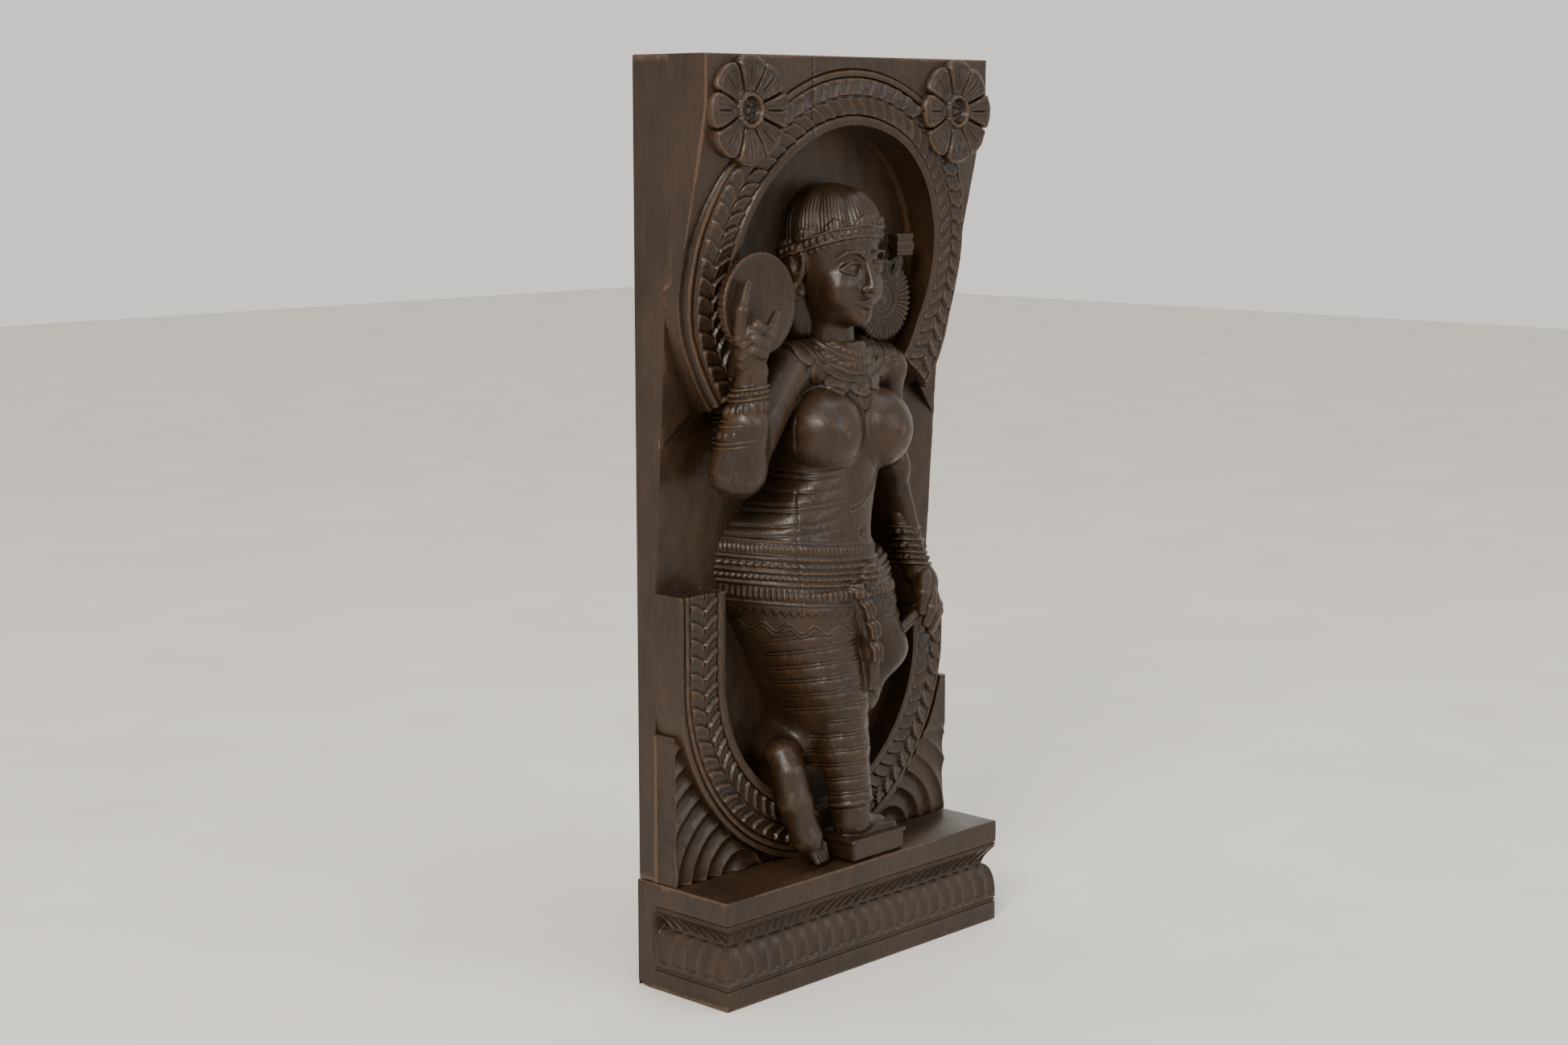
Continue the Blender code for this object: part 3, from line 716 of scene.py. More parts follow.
def trunk(stations):
    """A body in relief from rows of (height, left, right, front, squareness, lean at the ground)."""
    rows = np.array(sorted(stations), float)
    heights = rows[:, 0]

    def through(z, column):
        """A smooth curve through one column of the stations."""
        values = rows[:, column]
        slopes = np.gradient(values, heights)
        i = np.clip(np.searchsorted(heights, z) - 1, 0, len(heights) - 2)
        gap = heights[i + 1] - heights[i]
        t = np.clip((z - heights[i]) / gap, 0, 1)
        a, b = values[i], values[i + 1]
        curve = a + (b - a) * (3 * t ** 2 - 2 * t ** 3)
        return curve + gap * (slopes[i] * t * (1 - t) ** 2 - slopes[i + 1] * t ** 2 * (1 - t))

    def distance(x, y, z):
        flat = z.ravel().astype(float)
        left, right, front, square, lean = (
            through(flat, k)[None, None, :].astype(np.float32) for k in range(1, 6)
        )
        half, middle = (right - left) / 2, (right + left) / 2
        back = np.clip((y - front) / (BASE - front), 0, 1)
        near = (np.abs((x - middle - lean * back) / half) ** square
                + np.abs((y - BASE) / (BASE - front)) ** square) ** (1 / square)
        side = (near - 1) * np.minimum(half, BASE - front) * 0.85
        return np.maximum(side, np.maximum(z - heights[-1], heights[0] - z))

    low = (rows[:, 1].min() + min(0, rows[:, 5].min()), rows[:, 3].min(), heights[0])
    high = (rows[:, 2].max() + max(0, rows[:, 5].max()), BASE, heights[-1])
    return low, high, distance


def disc(centre, radius, front, back, edge):
    """A flat round form that faces forwards, with eased edges."""
    x0, z0 = centre

    def distance(x, y, z):
        r = np.sqrt((x - x0) ** 2 + (z - z0) ** 2) - radius + edge
        d = np.abs(y - (front + back) / 2) - (back - front) / 2 + edge
        return np.sqrt(np.maximum(r, 0) ** 2 + np.maximum(d, 0) ** 2) + np.minimum(np.maximum(r, d), 0) - edge

    return (x0 - radius, front, z0 - radius), (x0 + radius, back, z0 + radius), distance


def slab(low, high, edge):
    """A block with eased edges."""
    low, high = np.array(low, float), np.array(high, float)
    middle, half = (low + high) / 2, (high - low) / 2 - edge

    def distance(x, y, z):
        a, b, c = abs(x - middle[0]) - half[0], abs(y - middle[1]) - half[1], abs(z - middle[2]) - half[2]
        out = np.sqrt(np.maximum(a, 0) ** 2 + np.maximum(b, 0) ** 2 + np.maximum(c, 0) ** 2)
        return out + np.minimum(np.maximum(np.maximum(a, b), c), 0) - edge

    return low, high, distance


def carved(name, block, detail, keep):
    """A piece from a block of forms, with its detail cut into the surface, thinned to a share of its faces."""
    points, faces = block.skin()
    return new_piece(name, chiselled(points, faces, detail), faces, keep)


# ---------------------------------------------------------------- the standing figure

# Each row of a trunk: height, left, right, front, squareness, lean at the ground

BODY_TRUNK = (
    (284, -66, 55, -40, 3.6, -18),
    (300, -68, 47, -39, 3.6, -22),
    (316, -69, 38, -38, 3.4, -22),
    (333, -67, 36, -37, 3.2, -17),
    (352, -62, 39, -36, 3, -5),
    (372, -54, 43, -35, 2.8, 11),
    (398, -46, 50, -33, 2.4, 7),
    (430, -40, 56, -28, 2.2, 0),
    (452, -42, 60, -22, 2.2, 0),
)
STANDING_LEG = (
    (150, -23, 14, -38, 2.2, 0),
    (168, -27, 13, -40, 2.3, 0),
    (186, -35, 11, -42, 2.5, 1),
    (202, -43, 8, -43, 2.7, 4),
    (216, -48, 6, -43, 3, 0),
    (240, -53, 6, -42, 3.3, -7),
    (264, -58, 12, -41, 3.5, -16),
    (290, -66, 22, -40, 3.6, -20),
)

# The sash's middle line from the belt down, and the middle of the buckle
SASH = ((-11, 290), (-2, 274), (4, 258), (7, 240), (6, 215))
BUCKLE = (6.5, 300)


def body_block():
    body = Block((-132, -49, FOOT + 0.4), (112, 29.5, 472), 0.85)
    body.add(trunk(BODY_TRUNK), 2)
    body.add(trunk(STANDING_LEG), 3)
    # chest, shoulders and upper arms
    for form in (
        raised_limb((-42, 456), (10, 462), 16, 20, -14, -20),
        raised_limb((10, 462), (68, 450), 20, 17, -20, -12),
        raised_limb((-34, 452), (-74, 404), 15, 11, -8, -4, 2.2),
        rod((-44, -2, 456), (-102, -10, 390), 16, 18.5),
        raised_limb((70, 448), (78, 372), 16.5, 14.5, -12, -8, 2.2),
        raised_limb((78, 372), (91, 322), 14, 11.5, -8, -14, 2.2),
    ):
        body.add(form, 9)
    body.add(rod((4, -5, 500), (5, -4, 458), 17, 20), 10)
    body.add(ball((-106, -11, 387), (19.5, 20, 20.5)), 8)
    body.add(rod((-108, -13, 386), (-105, -20, 420), 19.5, 17), 6)
    body.add(ball((-20, -15, 407.5), (30.5, 31, 31.5)), 3.5)
    body.add(ball((37.5, -15, 405), (29, 30.5, 31)), 3.5)
    for x, z in ((-25, 408), (35, 406)):
        body.add(ball((x, -44.6, z), (3.2, 2.8, 3.2)), 1.6)
    # hips, the crossed leg and its foot
    body.add(raised_limb((30, 292), (58, 232), 34, 25, -28, -24, 2.4), 7)
    body.add(raised_limb((57, 232), (38, 196), 24, 20, -23, -13, 2.3), 8)
    body.add(raised_limb((38, 196), (-8, 176), 20, 18, -11, -4, 2.2), 8)
    body.add(raised_limb((-8, 178), (-40, 164), 18, 14, -4, -6, 2.2), 8)
    body.add(ball((-48, -1, 163), (13, 14, 13)), 5)
    body.add_path(
        [(-49, -9, 152), (-48, -14, 130), (-43, -22, 102), (-39, -25, 90)],
        [13, 12.5, 11, 7], 5,
    )
    body.add(raised_limb((-40, 160), (-32, 94), 9, 8, -8, -14, 3), 4)
    for k, x in enumerate((-46, -41.5, -37, -33)):
        body.add(rod((x, -26 - k, 97), (x + 2.5, -33 + k, 86), 3.2, 2.6), 1.2)
    # the standing leg's shin, ankle and foot on its block
    body.add_path(
        [(-16, -20, 232), (-8, -23.5, 200), (-5, -24, 167), (1.6, -24, 131), (3, -25, 106)],
        [23, 20.8, 19.5, 16.6, 13.6], 3,
    )
    body.add(slab((-15, -44, FOOT), (43, 4, 95.5), 2), 1.5)
    body.add(slab((-16.5, -45, 95), (44.5, 2, 98.5), 1.2), 0.8)
    body.add(rod((0, -25, 108), (30, -27, 101), 11, 7), 6)
    for k, y in enumerate((-34.5, -29, -24, -19.5, -15.5)):
        body.add(rod((26, y, 101.5), (39 - 1.6 * k, y - 1, 100), 3.2, 2.7), 1.2)
    body.add(slab((-22, -8, FOOT), (30, 28, 118), 6), 5)
    # the sash hanging from the belt
    for a, b in zip(SASH, SASH[1:]):
        body.add(raised_limb(a, b, 6.6, 6.6, -46.5, -46.5, 6), 2.5)
    return body


def sash_line(z):
    across, heights = zip(*SASH[::-1])
    return np.interp(z, heights, across)


# The belt's rows: height, half width, rise, pitch of the beads, and the share of the rise left between beads
BELT_ROWS = (
    (321, 3.8, 1.5, 3.6, 0.35), (326.2, 1.3, 1, 0, 1), (314.2, 2.3, 1.7, 0, 1), (309, 2.2, 2, 6.2, 0.45),
    (304.2, 1.9, 1.6, 0, 1), (299.6, 2, 1.9, 4.6, 0.5), (295, 1.6, 1.3, 0, 1), (287.4, 5, 2.1, 4.6, 0.25),
    (280.6, 1.4, 1.2, 0, 1),
)


def body_detail(x, y, z, normal):
    """What is cut into the body: the collar, the belt's rows, the sash, the hem and the wrapped cloth."""
    height = hand_worked(x, y, z)
    front = ease(-normal[:, 1], -0.35, 0.1)
    turn = (x + 25) * 0.8 - (y + 38) * 0.75 * (x < 0) + (y + 38) * 0.75 * (x >= 0)
    # hips and thigh
    belt = z + 0.05 * (x + 20) + 1.2 * np.cos(x / 26)
    on_hips = (x < 62) * (x > -100) * (z < 345) * (z > 250)
    rows = 0 * z
    for at, half, rise, pitch, least in BELT_ROWS:
        beads = least + (1 - least) * wave(2 * np.pi * turn / pitch) if pitch else 1
        rows += rise * bump(belt, at, half) * beads
    drop = zigzag(turn / 7)
    rows += 1.2 * ease(belt, 270.5 + 4 * drop, 272 + 4 * drop) * (1 - ease(belt, 278.4, 279.4))
    swag = 262 + 3 * np.cos(2 * np.pi * turn / 21)
    rows += 0.9 * bump(belt, swag, 1.1) + 0.7 * bump(belt, swag - 3.4, 0.9)
    right_thigh = ease(x, 16, 20)
    rows = rows * (1 - right_thigh * ease(262 - belt, 0, 4))
    side = x - sash_line(z)
    on_sash = (y < -30) * (z > 206) * (z < 284) * (np.abs(side) < 8.5)
    height += rows * on_hips * front * (1 - on_sash)
    # the buckle at the middle of the belt, and the sash's long lines
    bx, bz = x - BUCKLE[0], belt - BUCKLE[1]
    disc_r = np.hypot(bx, bz)
    beads = wave(10 * np.arctan2(bz, bx))
    height += (y < -18) * (
        2.6 * (1 - ease(disc_r, 9, 11)) + 1.3 * bump(disc_r, 7, 1.8) * beads + 1.4 * bump(disc_r, 0, 3.2)
    )
    height += (y < -43) * on_sash * 0.6 * (np.cos(2 * np.pi * side / 4.4) - 0.4)
    # double lines of the wrapped cloth on the standing leg
    on_leg = (x < 24) * (z < 259) * (z > 118) * (1 - on_sash) * ease(14 - y, 0, 10)
    on_leg = on_leg * (x > np.where(z < 196, -29, -90))
    leg = z - 0.10 * (x + 20) + 2 * np.sin((x + 20) / 22) + 0.16 * (y + 38)
    phase = np.mod(leg - 118, 11.6)
    line = bump(phase, 3, 0.95) + bump(phase, 5.6, 0.95)
    fade = 0.55 + 0.45 * np.sin(x * 0.13 + np.floor((leg - 118) / 11.6) * 2.1)
    height -= 1.15 * line * on_leg * np.clip(0.45 + fade, 0, 1)
    height += 1.8 * bump(leg, 124.5, 2.6) * (x > -30) * (y < 0)
    # a split that slants down the body
    crack = 0.69 * x - 0.73 * y + np.interp(z, (273, 337), (17.1, 22.1)) + 0.5 * np.sin(z / 7)
    height -= np.exp(-((crack / 0.7) ** 2)) * ease(z, 268, 278) * (1 - ease(z, 430, 450)) * (y < -15)
    # cloth lines on the crossed shin
    shin = (x > 10) * (x < 84) * (z < 250) * (z > 150) * (y < 20)
    fold = np.mod((x * 0.80 + z * 0.55) / 8, 1)
    height -= 0.8 * bump(fold, 0.5, 0.11) * shin * ease(212 - z, 0, 14)
    # hollows pressed across the waist on the shaded side, and the navel
    waist = (x < 36) * (z > 328) * (z < 388) * (x > -86)
    crossing = z - 0.10 * x
    lines = sum(bump(crossing, at, 1.4) for at in (382, 378, 369, 360.5, 356.5, 347, 340.5))
    height -= 0.85 * lines * waist * ease(-8 - x, 0, 14)
    height -= 2.4 * np.exp(-(((x - 2) / 2.6) ** 2 + ((z - 331) / 3.4) ** 2)) * (y < 0)
    # the double cord that crosses the body from the shoulder
    cord = z - np.interp(x, (-30, 0, 20, 40, 62), (346, 352, 366, 392, 440))
    below_breast = (x > -12) * (x < 44) * (z < 384) * (y < 6)
    height += (0.9 * bump(cord, 2, 1.2) + 0.9 * bump(cord, -1.6, 1.2)) * below_breast
    # the collar's strands, its scalloped drops and the pendant
    dx, dz = x - 10, z - 488
    ring = np.hypot(dx / 1.15, dz) / 1.06
    bearing = np.arctan2(dx / 1.15, -dz)
    on_chest = (z < 486) * (y < 12) * (z > 415)
    collar = 1.5 * ease(ring, 20, 22) * (1 - ease(ring, 42, 43.5))
    collar += 1.1 * bump(ring, 24, 1.7) * wave(bearing * 44)
    collar += 0.9 * bump(ring, 28.2, 1.3)
    collar += 1.1 * bump(ring, 32.5, 2) * (0.45 + 0.55 * np.cos(bearing * 52))
    collar += 0.9 * bump(ring, 36.8, 1.3)
    lobe = zigzag(bearing * 8.5 / np.pi + 0.5)
    drops = 1.9 * (1 - ease(ring, 53 - 5 * lobe ** 2, 54.4 - 5 * lobe ** 2)) * ease(ring, 41.5, 42.5)
    drops -= 0.9 * bump(lobe, 1, 0.28) * (ring > 42.5) * (ring < 54)
    pendant = 2 * (1 - ease(np.hypot((x - 11) / 7, (z - 430) / 8.5), 0.9, 1.1))
    height += (collar + drops) * on_chest * (np.abs(bearing) < 1.9) + pendant * (y < -5)
    return height


# ---------------------------------------------------------------- the head

# The middle of the coiled hair
COIL = (61, 500)

# Points along a lid or a brow, from the middle of its eye
UPPER_LID = ((-9.5, -33.5, 526.5), (-3.5, -38.8, 531.8), (4, -39.2, 531.6), (9.5, -35, 526))
LOWER_LID = ((-8.5, -35, 525.6), (0, -38.4, 523.2), (9, -34.5, 525.8))
BROW = ((-9, -40.6, 535.5), (-1, -40.6, 539.6), (7, -37.6, 539), (13.5, -31.6, 534))


def head():
    block = Block((-46, -50, 462), (104, 20, 595), 0.62)
    block.add(ball((2, -4, 545), (34.5, 35, 41)), 2)
    block.add(ball((2, -9, 516), (27.5, 31.5, 33)), 10)
    block.add(ball((2, -32, 492.5), (9.5, 8.5, 8.5)), 9)
    block.add(rod((4, 2, 510), (4, 0, 465), 18, 19.5), 7)
    block.add(rod((6, 6, 520), (8, 12, 470), 22, 16), 6)
    for side in (-1, 1):
        cx = 2 + side * 13
        block.add(ball((2 + side * 15.5, -27, 512), (11, 10.5, 12)), 8)
        block.cut(ball((cx, -45, 528.5), (10, 8, 6.6)), 5)
        block.add(ball((cx, -32.6, 527.5), (8.2, 6.6, 5.6)), 1.2)
        for lid, radius in ((UPPER_LID, 1.15), (LOWER_LID, 0.95)):
            block.add_path([(cx - side * x, y, z) for x, y, z in lid], [radius] * len(lid), 0.7)
        brow = [(cx + side * x, y, z) for x, y, z in BROW]
        for start, end in zip(brow, brow[1:]):
            block.add(rod(start, end, 1.3, 0.9), 1)
        block.add(ball((2 + side * 5, -41.5, 512.2), (3.3, 3.6, 3)), 1.8)
        block.add(ball((2 + side * 35.5, -2, 530), (4.5, 8.5, 14)), 3)
        block.cut(ball((2 + side * 39.8, -5, 532), (3.4, 4.6, 8)), 1.2)
        block.add(disc((2 + side * 38, 511), 7.5, -8, -1, 2), 1)
        block.cut(ball((2 + side * 38, -8, 511), (3.2, 3, 3.2)), 0.6)
    block.add(rod((2, -38.6, 536), (2, -45.6, 513.8), 3, 4.1), 3.2)
    block.add(ball((2, -45.2, 512.6), (4.5, 4.2, 3.9)), 1.5)
    for side in (-1, 1):
        block.add(rod((2, -42.2, 503.6), (2 + side * 9, -37.4, 502.2), 2, 1), 1)
        block.add(rod((2, -41.8, 499), (2 + side * 7.8, -37.2, 501.4), 2.5, 1), 1)
    block.cut(rod((-7.5, -40, 501.7), (2, -44.8, 501.5), 0.55, 0.55), 0.6)
    block.cut(rod((2, -44.8, 501.5), (11.5, -40, 501.7), 0.55, 0.55), 0.6)
    # the cap of hair over the band
    block.add(ball((4, 0.5, 554.5), (37, 38.5, 34.5)), 1)
    block.add(rod((-22, 10, 535), (-16, 15, 482), 15, 13), 4)
    # the coiled hair at one side, and the ornament above it
    block.add(disc(COIL, 31, -3, 19.5, 2.5), 0.8)
    block.add(slab((67, -13, 533), (85, -2, 550), 1.2), 0.6)
    block.add(rod((74, 0, 520), (76, -6, 536), 4.6, 4.2), 2)
    return block


def head_detail(x, y, z, normal):
    """Combed locks, the beaded band, the flutes of the coil and the ornament's small steps."""
    height = 0.5 * hand_worked(x, y, z)
    band = z - 541.5 + 0.34 * y
    on_hair = ease(band, 3.5, 5) * (x < 46)
    bearing = np.arctan2(x - 3, -(y - 2))
    lock = wave(bearing * 10 + 0.6)
    strand = wave(bearing * 80 + 2 * np.sin(z * 0.1))
    crown = ease(588 - z, 0, 8)
    height += on_hair * crown * (2.6 * lock ** 0.55 + 0.75 * strand - 1.6)
    tip = zigzag((bearing * 10 + 0.6) / (2 * np.pi) + 0.5)
    height += 2.2 * on_hair * (1 - ease(band, 11 - 6 * tip, 13 - 6 * tip)) * lock
    round_head = (x < 44) * (x > -44)
    height += round_head * (
        2.1 * (1 - ease(np.abs(band), 4, 4.8)) + 1.1 * bump(np.abs(band), 3.8, 0.9)
        + 1.2 * bump(band, 0, 2.2) * (0.35 + 0.65 * np.cos(bearing * 46))
    )
    tails = zigzag(bearing * 46 / (2 * np.pi))
    height += 0.9 * round_head * bump(band + 6.4, 0, 1.8) * (1 - tails)
    # the coil of hair
    cx, cz = x - COIL[0], z - COIL[1]
    r = np.hypot(cx, cz)
    spoke = np.arctan2(cz, cx)
    coil = (x > 41) * (z < 531.5) * (y < 6) * (y > -6)
    height += coil * (
        1.7 * wave(spoke * 44) * ease(r, 15, 17) + 1.5 * bump(r, 14, 1.8)
        + 1.1 * bump(r, 9.6, 1.5) * wave(spoke * 18) + 1.7 * bump(r, 0, 5)
    )
    # the ornament
    on_block = (x > 64) * (z > 531.5)
    height -= on_block * (0.9 * bump(z, 535.5, 0.9) + 0.9 * bump(z, 544.5, 0.9))
    height += on_block * 0.7 * wave(2 * np.pi * x / 3.4) * bump(z, 540, 3.4)
    return height


# ---------------------------------------------------------------- the hands

# The middle of the mirror
MIRROR = (-93, 505)


def raised_hand():
    """The forearm with its bangles and the hand that holds up a mirror."""
    block = Block((-138, -47, 386), (-50, 22, 548), 0.62)
    block.add(disc(MIRROR, 37, -22, -15.5, 1.2), 1)
    block.add(slab((-96, -18, 478), (-70, 22, 524), 4), 3)
    block.add(rod((-107, -14, 392), (-104, -22, 444), 19, 12), 2)
    block.add(raised_limb((-88, 400), (-88, 452), 9, 7, -10, -12, 2.4), 5)
    block.add(rod((-104, -22, 440), (-104, -25, 458), 11, 11.5), 4)
    block.add(ball((-109, -27, 473), (12.5, 9.5, 17), math.radians(-8)), 5)
    block.add(raised_limb((-100, 455), (-100, 486), 7, 7, -20, -20, 3), 5)
    # the first finger lies up the mirror, the thumb crosses to its edge, the others fold against the palm
    for points, radii in (
        ([(-120, -28, 482), (-119, -29.5, 502), (-111, -27.5, 520)], [5.2, 4.9, 3.8]),
        ([(-103, -31, 468), (-99, -36, 484), (-90, -35.5, 498)], [5.8, 5.2, 3.8]),
        ([(-115, -31, 484), (-111, -36, 491), (-102, -35, 488)], [5.4, 5.2, 4.6]),
        ([(-117, -31, 477), (-114, -36.5, 482.5), (-105, -36.5, 479.5)], [5.4, 5.2, 4.6]),
        ([(-117, -30, 469), (-114, -36, 474), (-106, -36.5, 471)], [5.2, 5, 4.4]),
    ):
        block.add_path(points, radii, 1.5)
    return block


def bangles(along, around, rows):
    """Rings round an arm, each (place, half width, rise, beads), and plain where beads is 0."""
    return sum(
        rise * bump(along, at, half) * (0.35 + 0.65 * wave(around * beads) if beads else 1)
        for at, half, rise, beads in rows
    )


RAISED_BANGLES = (
    (446, 1.7, 2, 0), (442.3, 1.9, 2.2, 26), (438.6, 1.7, 2, 0), (431, 5.6, 2.4, 17), (424.2, 1.5, 2.3, 0),
    (420.8, 1.7, 2.6, 0), (414.6, 4.2, 2.3, 15), (409, 1.8, 2.5, 0), (405.6, 1.5, 2, 0),
)
LOWERED_BANGLES = (
    (321, 1.6, 1.8, 0), (317, 2.6, 2.2, 15), (311.4, 1.6, 2, 0), (306.4, 2.4, 2.6, 13), (301.6, 1.5, 2, 0),
    (297.4, 2.2, 2.4, 15), (293, 1.6, 2, 0),
)


def raised_hand_detail(x, y, z, normal):
    """The bangles, the mirror's raised rim and its milled edge."""
    height = 0.5 * hand_worked(x, y, z)
    around = np.arctan2(x + 105, -(y + 18))
    lean = z - 0.10 * (x + 105) + 0.10 * (y + 20)
    arm = (z < 452) * (z > 396)
    height = height + arm * bangles(lean, around, RAISED_BANGLES)
    cx, cz = x - MIRROR[0], z - MIRROR[1]
    r, spoke = np.hypot(cx, cz), np.arctan2(cz, cx)
    face = (y > -24) * (y < -17) * (normal[:, 1] < -0.5)
    height += face * (ease(r, 32, 33.5) - 0.3)
    rim = (r > 35) * (normal[:, 1] > -0.7)
    height -= rim * 0.8 * wave(spoke * 46) ** 2
    return height


def lowered_hand():
    """The forearm with its bracelets and the hand that holds the end of a sash."""
    block = Block((48, -40, 228), (134, 30, 340), 0.62)
    block.add(rod((88.5, 1.5, 330), (98, -8, 288), 11, 10), 2)
    block.add(raised_limb((90, 326), (98, 286), 8, 7, 4, 0, 3), 5)
    block.add(ball((102.5, -13, 274), (10.5, 9.5, 15), math.radians(-14)), 6)
    for points, radii in (
        ([(95, -18, 284), (88, -23, 272), (86, -23, 258)], [5.4, 5, 4]),
        ([(100, -20, 272), (95, -25.5, 260), (90, -24, 248)], [5, 4.6, 3.7]),
        ([(105, -18, 268), (103, -23, 254), (99, -20, 241)], [5, 4.6, 3.6]),
        ([(109.5, -14, 268), (111, -18, 254), (108, -15, 240)], [5, 4.6, 3.6]),
        ([(113, -9, 270), (117.5, -12.5, 257), (116, -10, 244)], [4.8, 4.4, 3.5]),
    ):
        block.add_path(points, radii, 1.4)
    block.add(rod((62, -16, 241), (98, -19, 264), 4.6, 4.4), 1.5)
    block.add(raised_limb((100, 292), (108, 262), 7, 6, -2, -4, 3), 5)
    return block


def lowered_hand_detail(x, y, z, normal):
    height = 0.5 * hand_worked(x, y, z)
    around = np.arctan2(x - 95, -(y + 4))
    lean = z + 0.16 * (x - 95) + 0.06 * (y + 5)
    arm = (z < 330) * (z > 286)
    return height + arm * bangles(lean, around, LOWERED_BANGLES)


# ---------------------------------------------------------------- materials

def linear(code):
    """A linear colour from an sRGB hex value."""
    parts = [int(code[i:i + 2], 16) / 255 for i in (0, 2, 4)]
    return tuple(c / 12.92 if c <= 0.04045 else ((c + 0.055) / 1.055) ** 2.4 for c in parts) + (1,)


def node(tree, kind, sockets=None, **settings):
    """Adds a node, with its settings, and each socket given a value or a link from (node, output)."""
    made = tree.nodes.new(kind)
    for name, value in settings.items():
        setattr(made, name, value)
    for name, value in (sockets or {}).items():
        if isinstance(value, tuple) and isinstance(value[0], bpy.types.Node):
            tree.links.new(value[0].outputs[value[1]], made.inputs[name])
        else:
            made.inputs[name].default_value = value
    return made


def new_material(name):
    """A blank material, its node tree, and the object coordinates that its textures are placed by."""
    material = bpy.data.materials.new(name)
    material.use_nodes = True
    tree = material.node_tree
    tree.nodes.clear()
    return material, tree, (node(tree, "ShaderNodeTexCoord"), "Object")


def surface(tree, sockets):
    shader = node(tree, "ShaderNodeBsdfPrincipled", sockets)
    node(tree, "ShaderNodeOutputMaterial", {"Surface": (shader, "BSDF")})


def drawn_out(tree, place, across, up, detail, roughness=0.5):
    """Noise that repeats across and up the grain about that many times in a metre."""
    scaled = node(tree, "ShaderNodeMapping", {"Vector": place, "Scale": (across, across, up)})
    return node(tree, "ShaderNodeTexNoise", {
        "Vector": (scaled, "Vector"), "Scale": 1, "Detail": detail, "Roughness": roughness,
    })


def mixed(tree, share, first, second):
    """The first colour turned into the second one by that share."""
    return node(tree, "ShaderNodeMix", {"Factor": share, "A": first, "B": second}, data_type="RGBA"), "Result"


def product(tree, first, second):
    return node(tree, "ShaderNodeMath", {0: first, 1: second}, operation="MULTIPLY"), "Value"


def relief(tree, height, strength, distance):
    made = node(tree, "ShaderNodeBump", {"Height": height, "Strength": strength, "Distance": distance})
    return made, "Normal"


def ramp(tree, source, stops):
    """A colour ramp through (position, linear colour or grey value)."""
    made = node(tree, "ShaderNodeValToRGB", {"Fac": source})
    band = made.color_ramp
    while len(band.elements) < len(stops):
        band.elements.new(0.5)
    for element, (position, colour) in zip(band.elements, stops):
        element.position = position
        element.color = colour if isinstance(colour, tuple) else (colour, colour, colour, 1)
    return made, "Color"


def stained_hardwood():
    """Close-grained hardwood, stained nearly black and waxed: soft gloss, with the brown showing at worn edges and
    painted shade darkening the cuts.
    """
    material, tree, place = new_material("stained_waxed_hardwood")
    # grain lines about 1.2 mm apart run up the panel, 60 mm long
    grain = drawn_out(tree, place, 800, 17, 4, 0.6), "Fac"
    # pores 0.4 mm wide and 5 mm long
    pores = ramp(tree, (drawn_out(tree, place, 2300, 190, 2), "Fac"), ((0.30, 0), (0.42, 1)))
    # the stain took unevenly, in patches of about 40 mm
    patch = drawn_out(tree, place, 26, 14, 3, 0.6), "Fac"
    base = ramp(tree, grain, ((0.30, linear("1a1209")), (0.52, linear("291c10")), (0.72, linear("382716"))))
    warm = ramp(tree, patch, ((0.38, linear("1e150b")), (0.66, linear("3c2915"))))
    tone = mixed(tree, 0.45, base, warm)
    # rubbed edges show the brown under the stain, in flecks
    # the attribute is positive where the wood stands proud (wear) and negative where it is sunk (painted shade)
    wear = node(tree, "ShaderNodeAttribute", attribute_name="wear"), "Fac"
    fleck = drawn_out(tree, place, 330, 120, 3), "Fac"
    rubbed = ramp(tree, product(tree, wear, fleck), ((0.07, 0), (0.34, 0.6)))
    worn = mixed(tree, rubbed, tone, linear("5a4430"))
    # painted shade: the sunk cuts and hollows are darkened as ambient occlusion would darken them
    painted_cavity_shade = ramp(tree, product(tree, wear, -1), ((0.03, 0), (0.30, 0.75)))
    cut = mixed(tree, painted_cavity_shade, worn, linear("120c08"))
    surface(tree, {
        "Base Color": mixed(tree, pores, linear("140e0a"), cut),
        "Roughness": ramp(tree, patch, ((0.30, 0.27), (0.70, 0.42))),
        "Normal": relief(tree, product(tree, grain, pores), 0.35, 0.0004),
        "IOR": 1.5, "Specular IOR Level": 0.34,
    })
    return material


def turned_beech():
    """Turned beech dowel, unfinished: pale pinkish tan with short dark flecks."""
    material, tree, place = new_material("turned_beech")
    # ray flecks 0.5 mm wide and 3 mm long
    fleck = drawn_out(tree, place, 2000, 330, 3), "Fac"
    surface(tree, {
        "Base Color": ramp(tree, fleck, ((0.34, linear("a9774f")), (0.60, linear("cfa47a")))),
        "Roughness": 0.62, "Normal": relief(tree, fleck, 0.3, 0.0002),
    })
    return material


def zinc_plate():
    """Bright zinc plate over a rolled steel thread: cool grey with cloudy dull patches."""
    material, tree, place = new_material("zinc_plated_steel")
    # spangle patches about 2 mm across
    cloud = node(tree, "ShaderNodeTexNoise", {"Vector": place, "Scale": 500, "Detail": 2}), "Fac"
    surface(tree, {
        "Base Color": ramp(tree, cloud, ((0.35, linear("9a9c9d")), (0.65, linear("c6c8c9")))),
        "Metallic": 1, "Roughness": ramp(tree, cloud, ((0.35, 0.30), (0.65, 0.45))),
    })
    return material


def pale_floor():
    """Smooth pale studio floor with a faint mottle."""
    material, tree, place = new_material("pale_studio_floor")
    mottle = node(tree, "ShaderNodeTexNoise", {"Vector": place, "Scale": 6, "Detail": 3}), "Fac"
    colour = ramp(tree, mottle, ((0.3, linear("dcd8d0")), (0.7, linear("e4e0d9"))))
    surface(tree, {"Base Color": colour, "Roughness": 0.7})
    return material


# ---------------------------------------------------------------- stage, light and camera

FLOOR_HALF = 6000


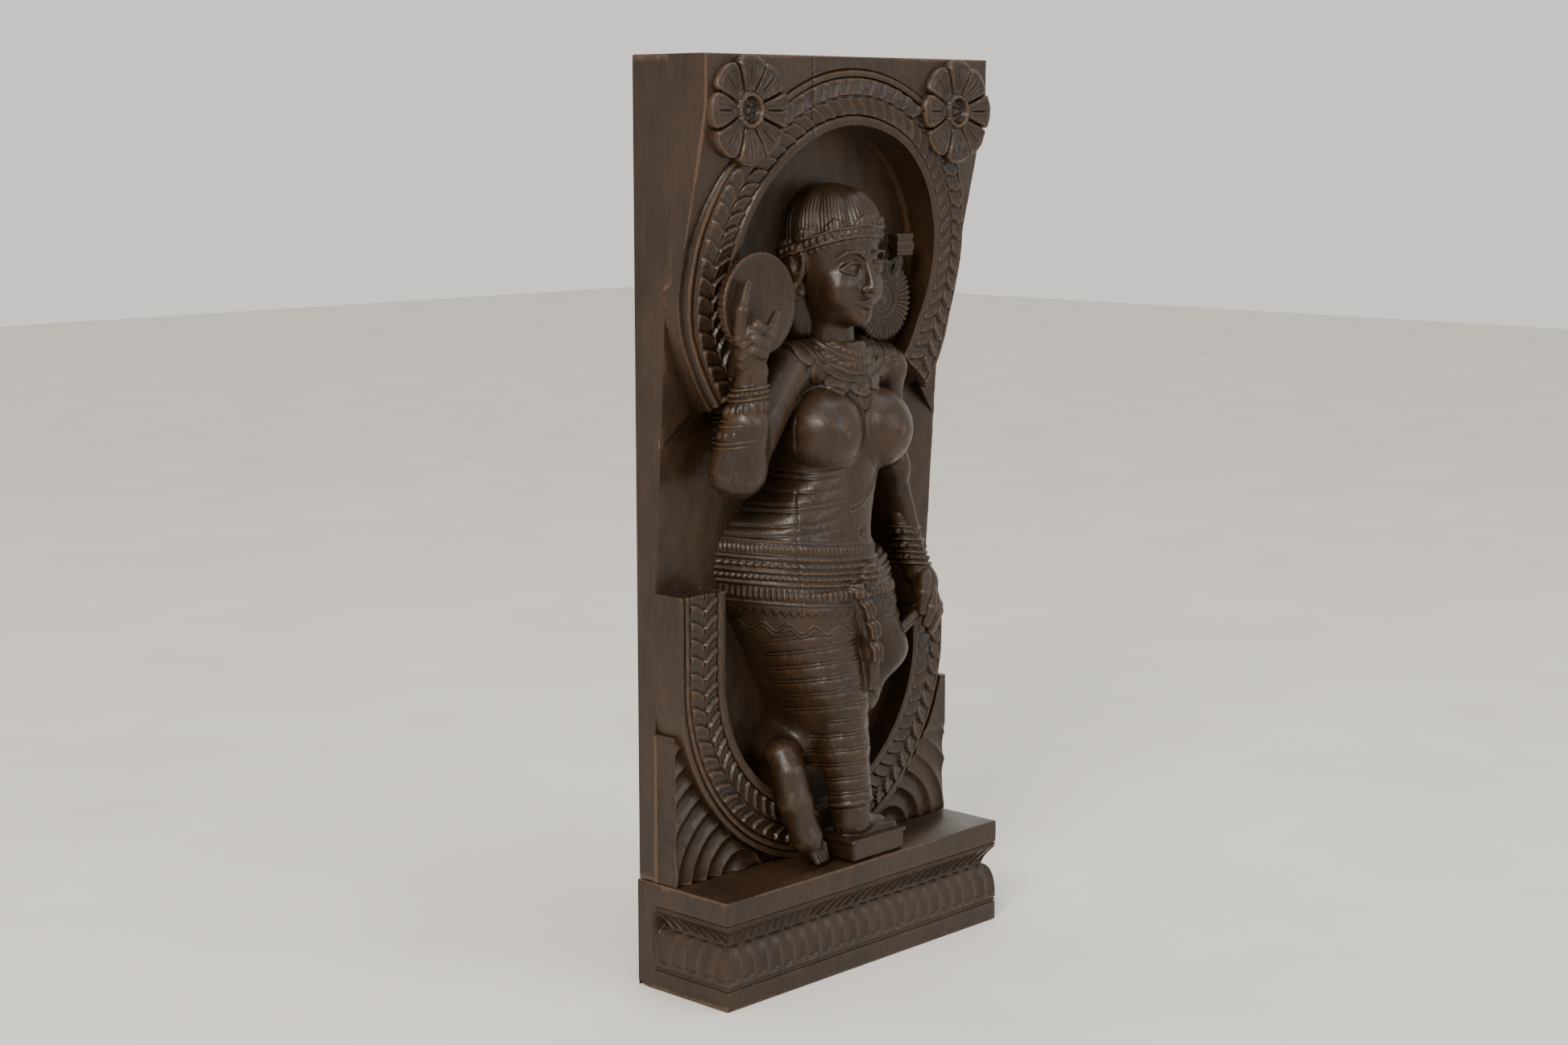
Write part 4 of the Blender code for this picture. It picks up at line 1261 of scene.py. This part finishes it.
def studio_floor():
    half = FLOOR_HALF
    points = np.array([(-half, -half, 0), (half, -half, 0), (half, half, 0), (-half, half, 0)])
    floor = new_piece("floor", points, np.array([[0, 1, 2, 3]]))
    floor.data.materials.append(pale_floor())


def soft_box(name, place, target, size, power, colour):
    light = bpy.data.lights.new(name, "AREA")
    light.shape = "RECTANGLE"
    light.size, light.size_y = size
    light.energy = power
    light.color = linear(colour)[:3]
    obj = bpy.data.objects.new(name, light)
    obj.location = place
    obj.rotation_euler = (Vector(target) - Vector(place)).to_track_quat("-Z", "Y").to_euler()
    bpy.context.scene.collection.objects.link(obj)


def studio_light():
    middle = (0, 0, 0.35)
    soft_box("key_light", (-2.6, -1.2, 2.1), middle, (1, 1), 98, "fffaf2")
    soft_box("front_fill", (0.6, -3, 1.4), middle, (1.6, 1.4), 26, "f4f7ff")
    soft_box("sky_light", (0.2, -0.6, 3), middle, (1.5, 1.5), 22, "e8efff")
    world = bpy.data.worlds.new("studio")
    world.use_nodes = True
    world.node_tree.nodes["Background"].inputs["Color"].default_value = linear("f4efe8")
    world.node_tree.nodes["Background"].inputs["Strength"].default_value = 1.12
    bpy.context.scene.world = world


# The camera stands turned from the front and tilted down, in metres from the point it turns about
CAMERA_TURN, CAMERA_TILT = math.radians(46.518), math.radians(8.933)
CAMERA_AWAY, CAMERA_HEIGHT = 1.89436, 0.6326
AIM = (-0.02131, 0.02247)
SENSOR, LENS = 36, 58.4


def studio_camera():
    camera = bpy.data.cameras.new("camera")
    camera.sensor_fit, camera.sensor_width, camera.lens = "HORIZONTAL", SENSOR, LENS
    obj = bpy.data.objects.new("camera", camera)
    x = AIM[0] - math.sin(CAMERA_TURN) * CAMERA_AWAY
    y = AIM[1] - math.cos(CAMERA_TURN) * CAMERA_AWAY
    obj.location = (x, y, CAMERA_HEIGHT)
    obj.rotation_euler = (math.pi / 2 - CAMERA_TILT, 0, -CAMERA_TURN)
    bpy.context.scene.collection.objects.link(obj)
    bpy.context.scene.camera = obj


# ---------------------------------------------------------------- making the piece

wood = stained_hardwood()
panel_pieces = [
    carved_ground(), niche_arch(), garland_ring(), rosette(-1), rosette(1), corner_fan(-1), corner_fan(1),
    carved("standing_figure", body_block(), body_detail, 0.24),
    carved("head_with_headband", head(), head_detail, 0.3),
    carved("raised_hand_with_mirror", raised_hand(), raised_hand_detail, 0.25),
    carved("lowered_hand_with_sash", lowered_hand(), lowered_hand_detail, 0.25),
]
plinth_piece = moulded_plinth()
for piece in panel_pieces + [plinth_piece]:
    mark_wear_and_shade(piece)
    piece.data.materials.clear()
    piece.data.materials.append(wood)
    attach(piece, "root")
for piece in panel_pieces:
    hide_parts("carved_panel")
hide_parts("plinth")

beech, zinc = turned_beech(), zinc_plate()
finishes = {"dowel_left": beech, "dowel_right": beech, "screw_left": zinc, "screw_right": zinc}
for name, finish in finishes.items():
    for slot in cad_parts[name].material_slots:
        slot.material = finish

studio_floor()
studio_light()
studio_camera()
